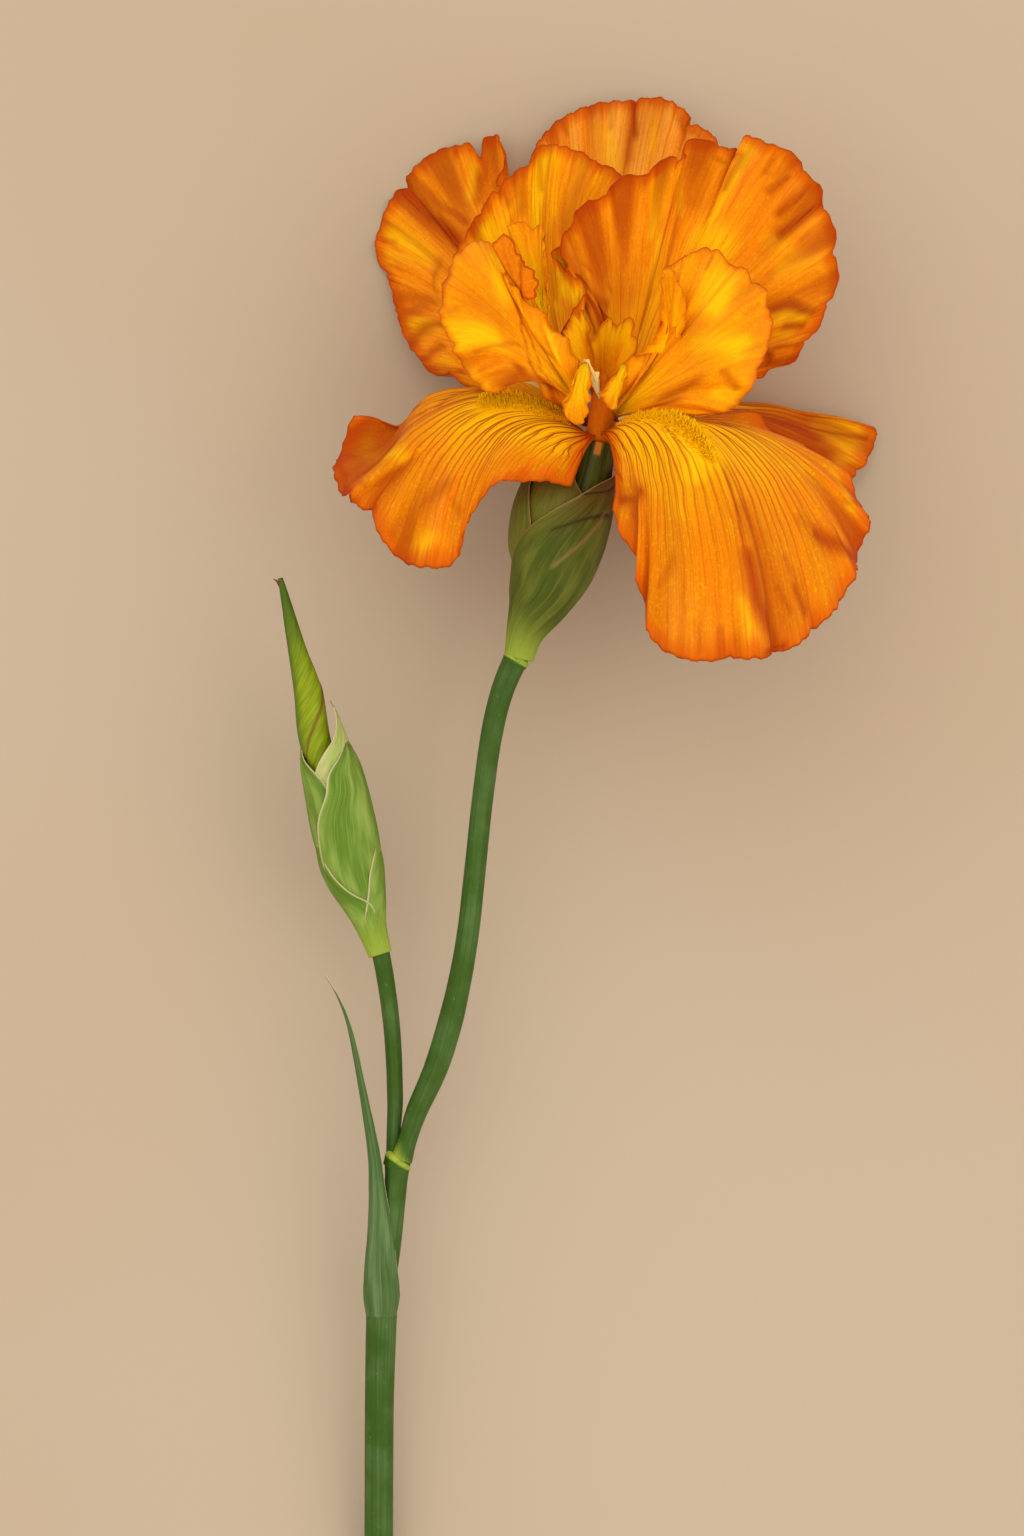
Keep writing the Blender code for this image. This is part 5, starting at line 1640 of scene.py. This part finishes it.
class IRIS_OT_stamens(Operator):
    """Make the stamens under the style arms"""

    bl_idname = "iris.stamens"
    bl_label = "Stamens"

    def execute(self, context):
        material = stamen_paint("stamen_cream")
        for node, route in STAMENS.items():
            dress(tube(node + "_stalk", route, STAMEN_MESH, grooved, material), node)
        return {"FINISHED"}


class IRIS_OT_stalks(Operator):
    """Make the stem, the two stalks, their collars and the green tube under the flower"""

    bl_idname = "iris.stalks"
    bl_label = "Stalks"

    def execute(self, context):
        for node, (route, reaches, pale_reach, mesh) in STALKS.items():
            material = stem_paint(node + "_green", pale_reach)
            dress(tube(node + "_skin", stretched(route, *reaches), mesh, ribbed, material), node)
        ring = collar_paint()
        for name, route in COLLARS.items():
            dress(tube(name, route, COLLAR_MESH, lined, ring), None)
        route = stretched(PERIANTH_TUBE, 0, 0.5)
        piece = tube("perianth_tube_skin", route, PERIANTH_MESH, lobed, tube_paint())
        dress(piece, "perianth_tube")
        throat = petal_paint("throat_orange", "throat", looks("petals").deep)
        dress(tube("throat", THROAT, THROAT_MESH, lobed, throat), None)
        return {"FINISHED"}


class IRIS_OT_leaf(Operator):
    """Make the small leaf that clasps the stem"""

    bl_idname = "iris.leaf"
    bl_label = "Leaf"

    def execute(self, context):
        look = looks("greens")
        material = valve_paint("leaf_green", "leaf", look.leaf, look.wax, look.bud_margin)
        make_leaf("stem_leaf", material)
        return {"FINISHED"}


class IRIS_OT_flower_spathe(Operator):
    """Make the valves round the flower's base"""

    bl_idname = "iris.flower_spathe"
    bl_label = "Flower spathe"

    def execute(self, context):
        look = looks("greens")
        axis = stretched(FLOWER_SPATHE, 1.0, 3.5)
        for node, valve in FLOWER_VALVES.items():
            kind, body, lines = "inner", look.spathe_pale, ()
            if node == "flower_spathe_right":
                kind, body, lines = "outer", look.spathe, FLOWER_LINES
            material = valve_paint(node + "_olive", kind, body, look.spathe_pale, look.margin)
            piece = make_valve(node + "_valve", axis, valve, FLOWER_VALVE_MESH, material, lines)
            dress(piece, node)
        return {"FINISHED"}


class IRIS_OT_bud(Operator):
    """Make the rolled bud and the valves round it"""

    bl_idname = "iris.bud"
    bl_label = "Bud"

    def execute(self, context):
        look = looks("greens")
        dress(tube("bud_petals", BUD, BUD_MESH, rolled, bud_paint(), {"seam": seam}), "bud")
        brown = dry_paint("bud_spike_brown", look.dry)
        dress(tube("bud_spike", BUD_SPIKE, SPIKE_MESH, even, brown), None)
        green, pale, margin = look.bud_spathe, look.bud_pale, look.bud_margin
        for node, valve in BUD_VALVES.items():
            body, streak = (pale, margin) if node == "bud_spathe_back" else (green, pale)
            material = valve_paint(node + "_green", "bud", body, streak, margin)
            piece = make_valve(node + "_valve", BUD_SPATHE, valve, BUD_VALVE_MESH, material)
            dress(piece, node)
        material = valve_paint("bud_bract_green", "bract", green, pale, margin)
        axis = stretched(BUD_SPATHE, 0.8, 0)
        dress(make_valve("bud_base_bract", axis, BASE_BRACT, BRACT_MESH, material), None)
        return {"FINISHED"}


def lay_floor(look):
    bpy.ops.mesh.primitive_plane_add(size=FLOOR_SIZE)
    floor = bpy.context.active_object
    floor.name = "floor"
    floor.data.materials.append(floor_paint(look.floor))


def hang_lamp(name, spot, size, watts, base):
    """A square lamp at a place in metres from the flower's heart, which it looks at."""
    lamp = bpy.data.objects.new(name, bpy.data.lights.new(name, "AREA"))
    lamp.data.energy = watts
    lamp.data.size = size
    aim = (-Vector(spot)).to_track_quat("-Z", "Y").to_matrix().to_4x4()
    lamp.matrix_world = base @ Matrix.Translation(spot) @ aim
    bpy.context.scene.collection.objects.link(lamp)


def light_room(strength):
    world = bpy.data.worlds.new("soft_room")
    world.use_nodes = True
    background = world.node_tree.nodes["Background"]
    background.inputs["Color"].default_value = SKY_COLOUR
    background.inputs["Strength"].default_value = strength
    bpy.context.scene.world = world


def set_camera(height, base):
    """A camera that looks straight down on the plant's own plane."""
    camera = bpy.data.objects.new("camera", bpy.data.cameras.new("camera"))
    camera.data.lens = CAMERA_LENS
    camera.data.sensor_width = CAMERA_SENSOR
    camera.data.sensor_fit = "AUTO"
    camera.data.clip_end = CAMERA_FAR
    x, y = (value * MM for value in CAMERA_OVER)
    camera.matrix_world = base @ Matrix.Translation((x, y, height))
    bpy.context.scene.collection.objects.link(camera)
    bpy.context.scene.camera = camera


class IRIS_OT_stage(Operator):
    """Lay the floor and set the lamps and the camera"""

    bl_idname = "iris.stage"
    bl_label = "Stage"

    def execute(self, context):
        look = looks("stage")
        base = Matrix.Translation([value * MM for value in LIE_OFFSET]) @ LIE_TURN.to_4x4()
        lay_floor(look)
        hang_lamp("key_lamp", KEY_PLACE, KEY_SIZE, look.key, base)
        hang_lamp("fill_lamp", FILL_PLACE, FILL_SIZE, look.fill, base)
        light_room(look.sky)
        set_camera(look.camera_height, base)
        context.scene.view_settings.view_transform = "Standard"
        return {"FINISHED"}


class IRIS_PT_sidebar(Panel):
    """The iris's pieces and what can be changed about them"""

    bl_idname = "IRIS_PT_sidebar"
    bl_label = "Cut Bearded Iris"
    bl_space_type = "VIEW_3D"
    bl_region_type = "UI"
    bl_category = "Iris"

    def draw(self, context):
        for title, group in LOOK_GROUPS.items():
            box = self.layout.box()
            box.label(text=title.capitalize())
            for prop in group.__annotations__:
                box.prop(looks(title), prop)
        for operator in OPERATORS:
            self.layout.operator(operator.bl_idname)


LOOK_GROUPS = {
    "petals": IrisPetalLook,
    "beards": IrisBeardLook,
    "greens": IrisGreenLook,
    "stage": IrisStageLook,
}
OPERATORS = (
    IRIS_OT_falls,
    IRIS_OT_standards,
    IRIS_OT_style_arms,
    IRIS_OT_beards,
    IRIS_OT_stamens,
    IRIS_OT_stalks,
    IRIS_OT_leaf,
    IRIS_OT_flower_spathe,
    IRIS_OT_bud,
    IRIS_OT_stage,
)


def register():
    for each in (*LOOK_GROUPS.values(), *OPERATORS, IRIS_PT_sidebar):
        bpy.utils.register_class(each)
    for title, group in LOOK_GROUPS.items():
        setattr(bpy.types.Scene, "iris_" + title, PointerProperty(type=group))


def unregister():
    for title in LOOK_GROUPS:
        delattr(bpy.types.Scene, "iris_" + title)
    for each in (IRIS_PT_sidebar, *reversed(OPERATORS), *LOOK_GROUPS.values()):
        bpy.utils.unregister_class(each)


def main():
    register()
    for operator in OPERATORS:
        name = operator.bl_idname.split(".")[1]
        if getattr(bpy.ops.iris, name)() != {"FINISHED"}:
            raise RuntimeError(f"{operator.bl_label} didn't finish")


if __name__ == "__main__":
    main()
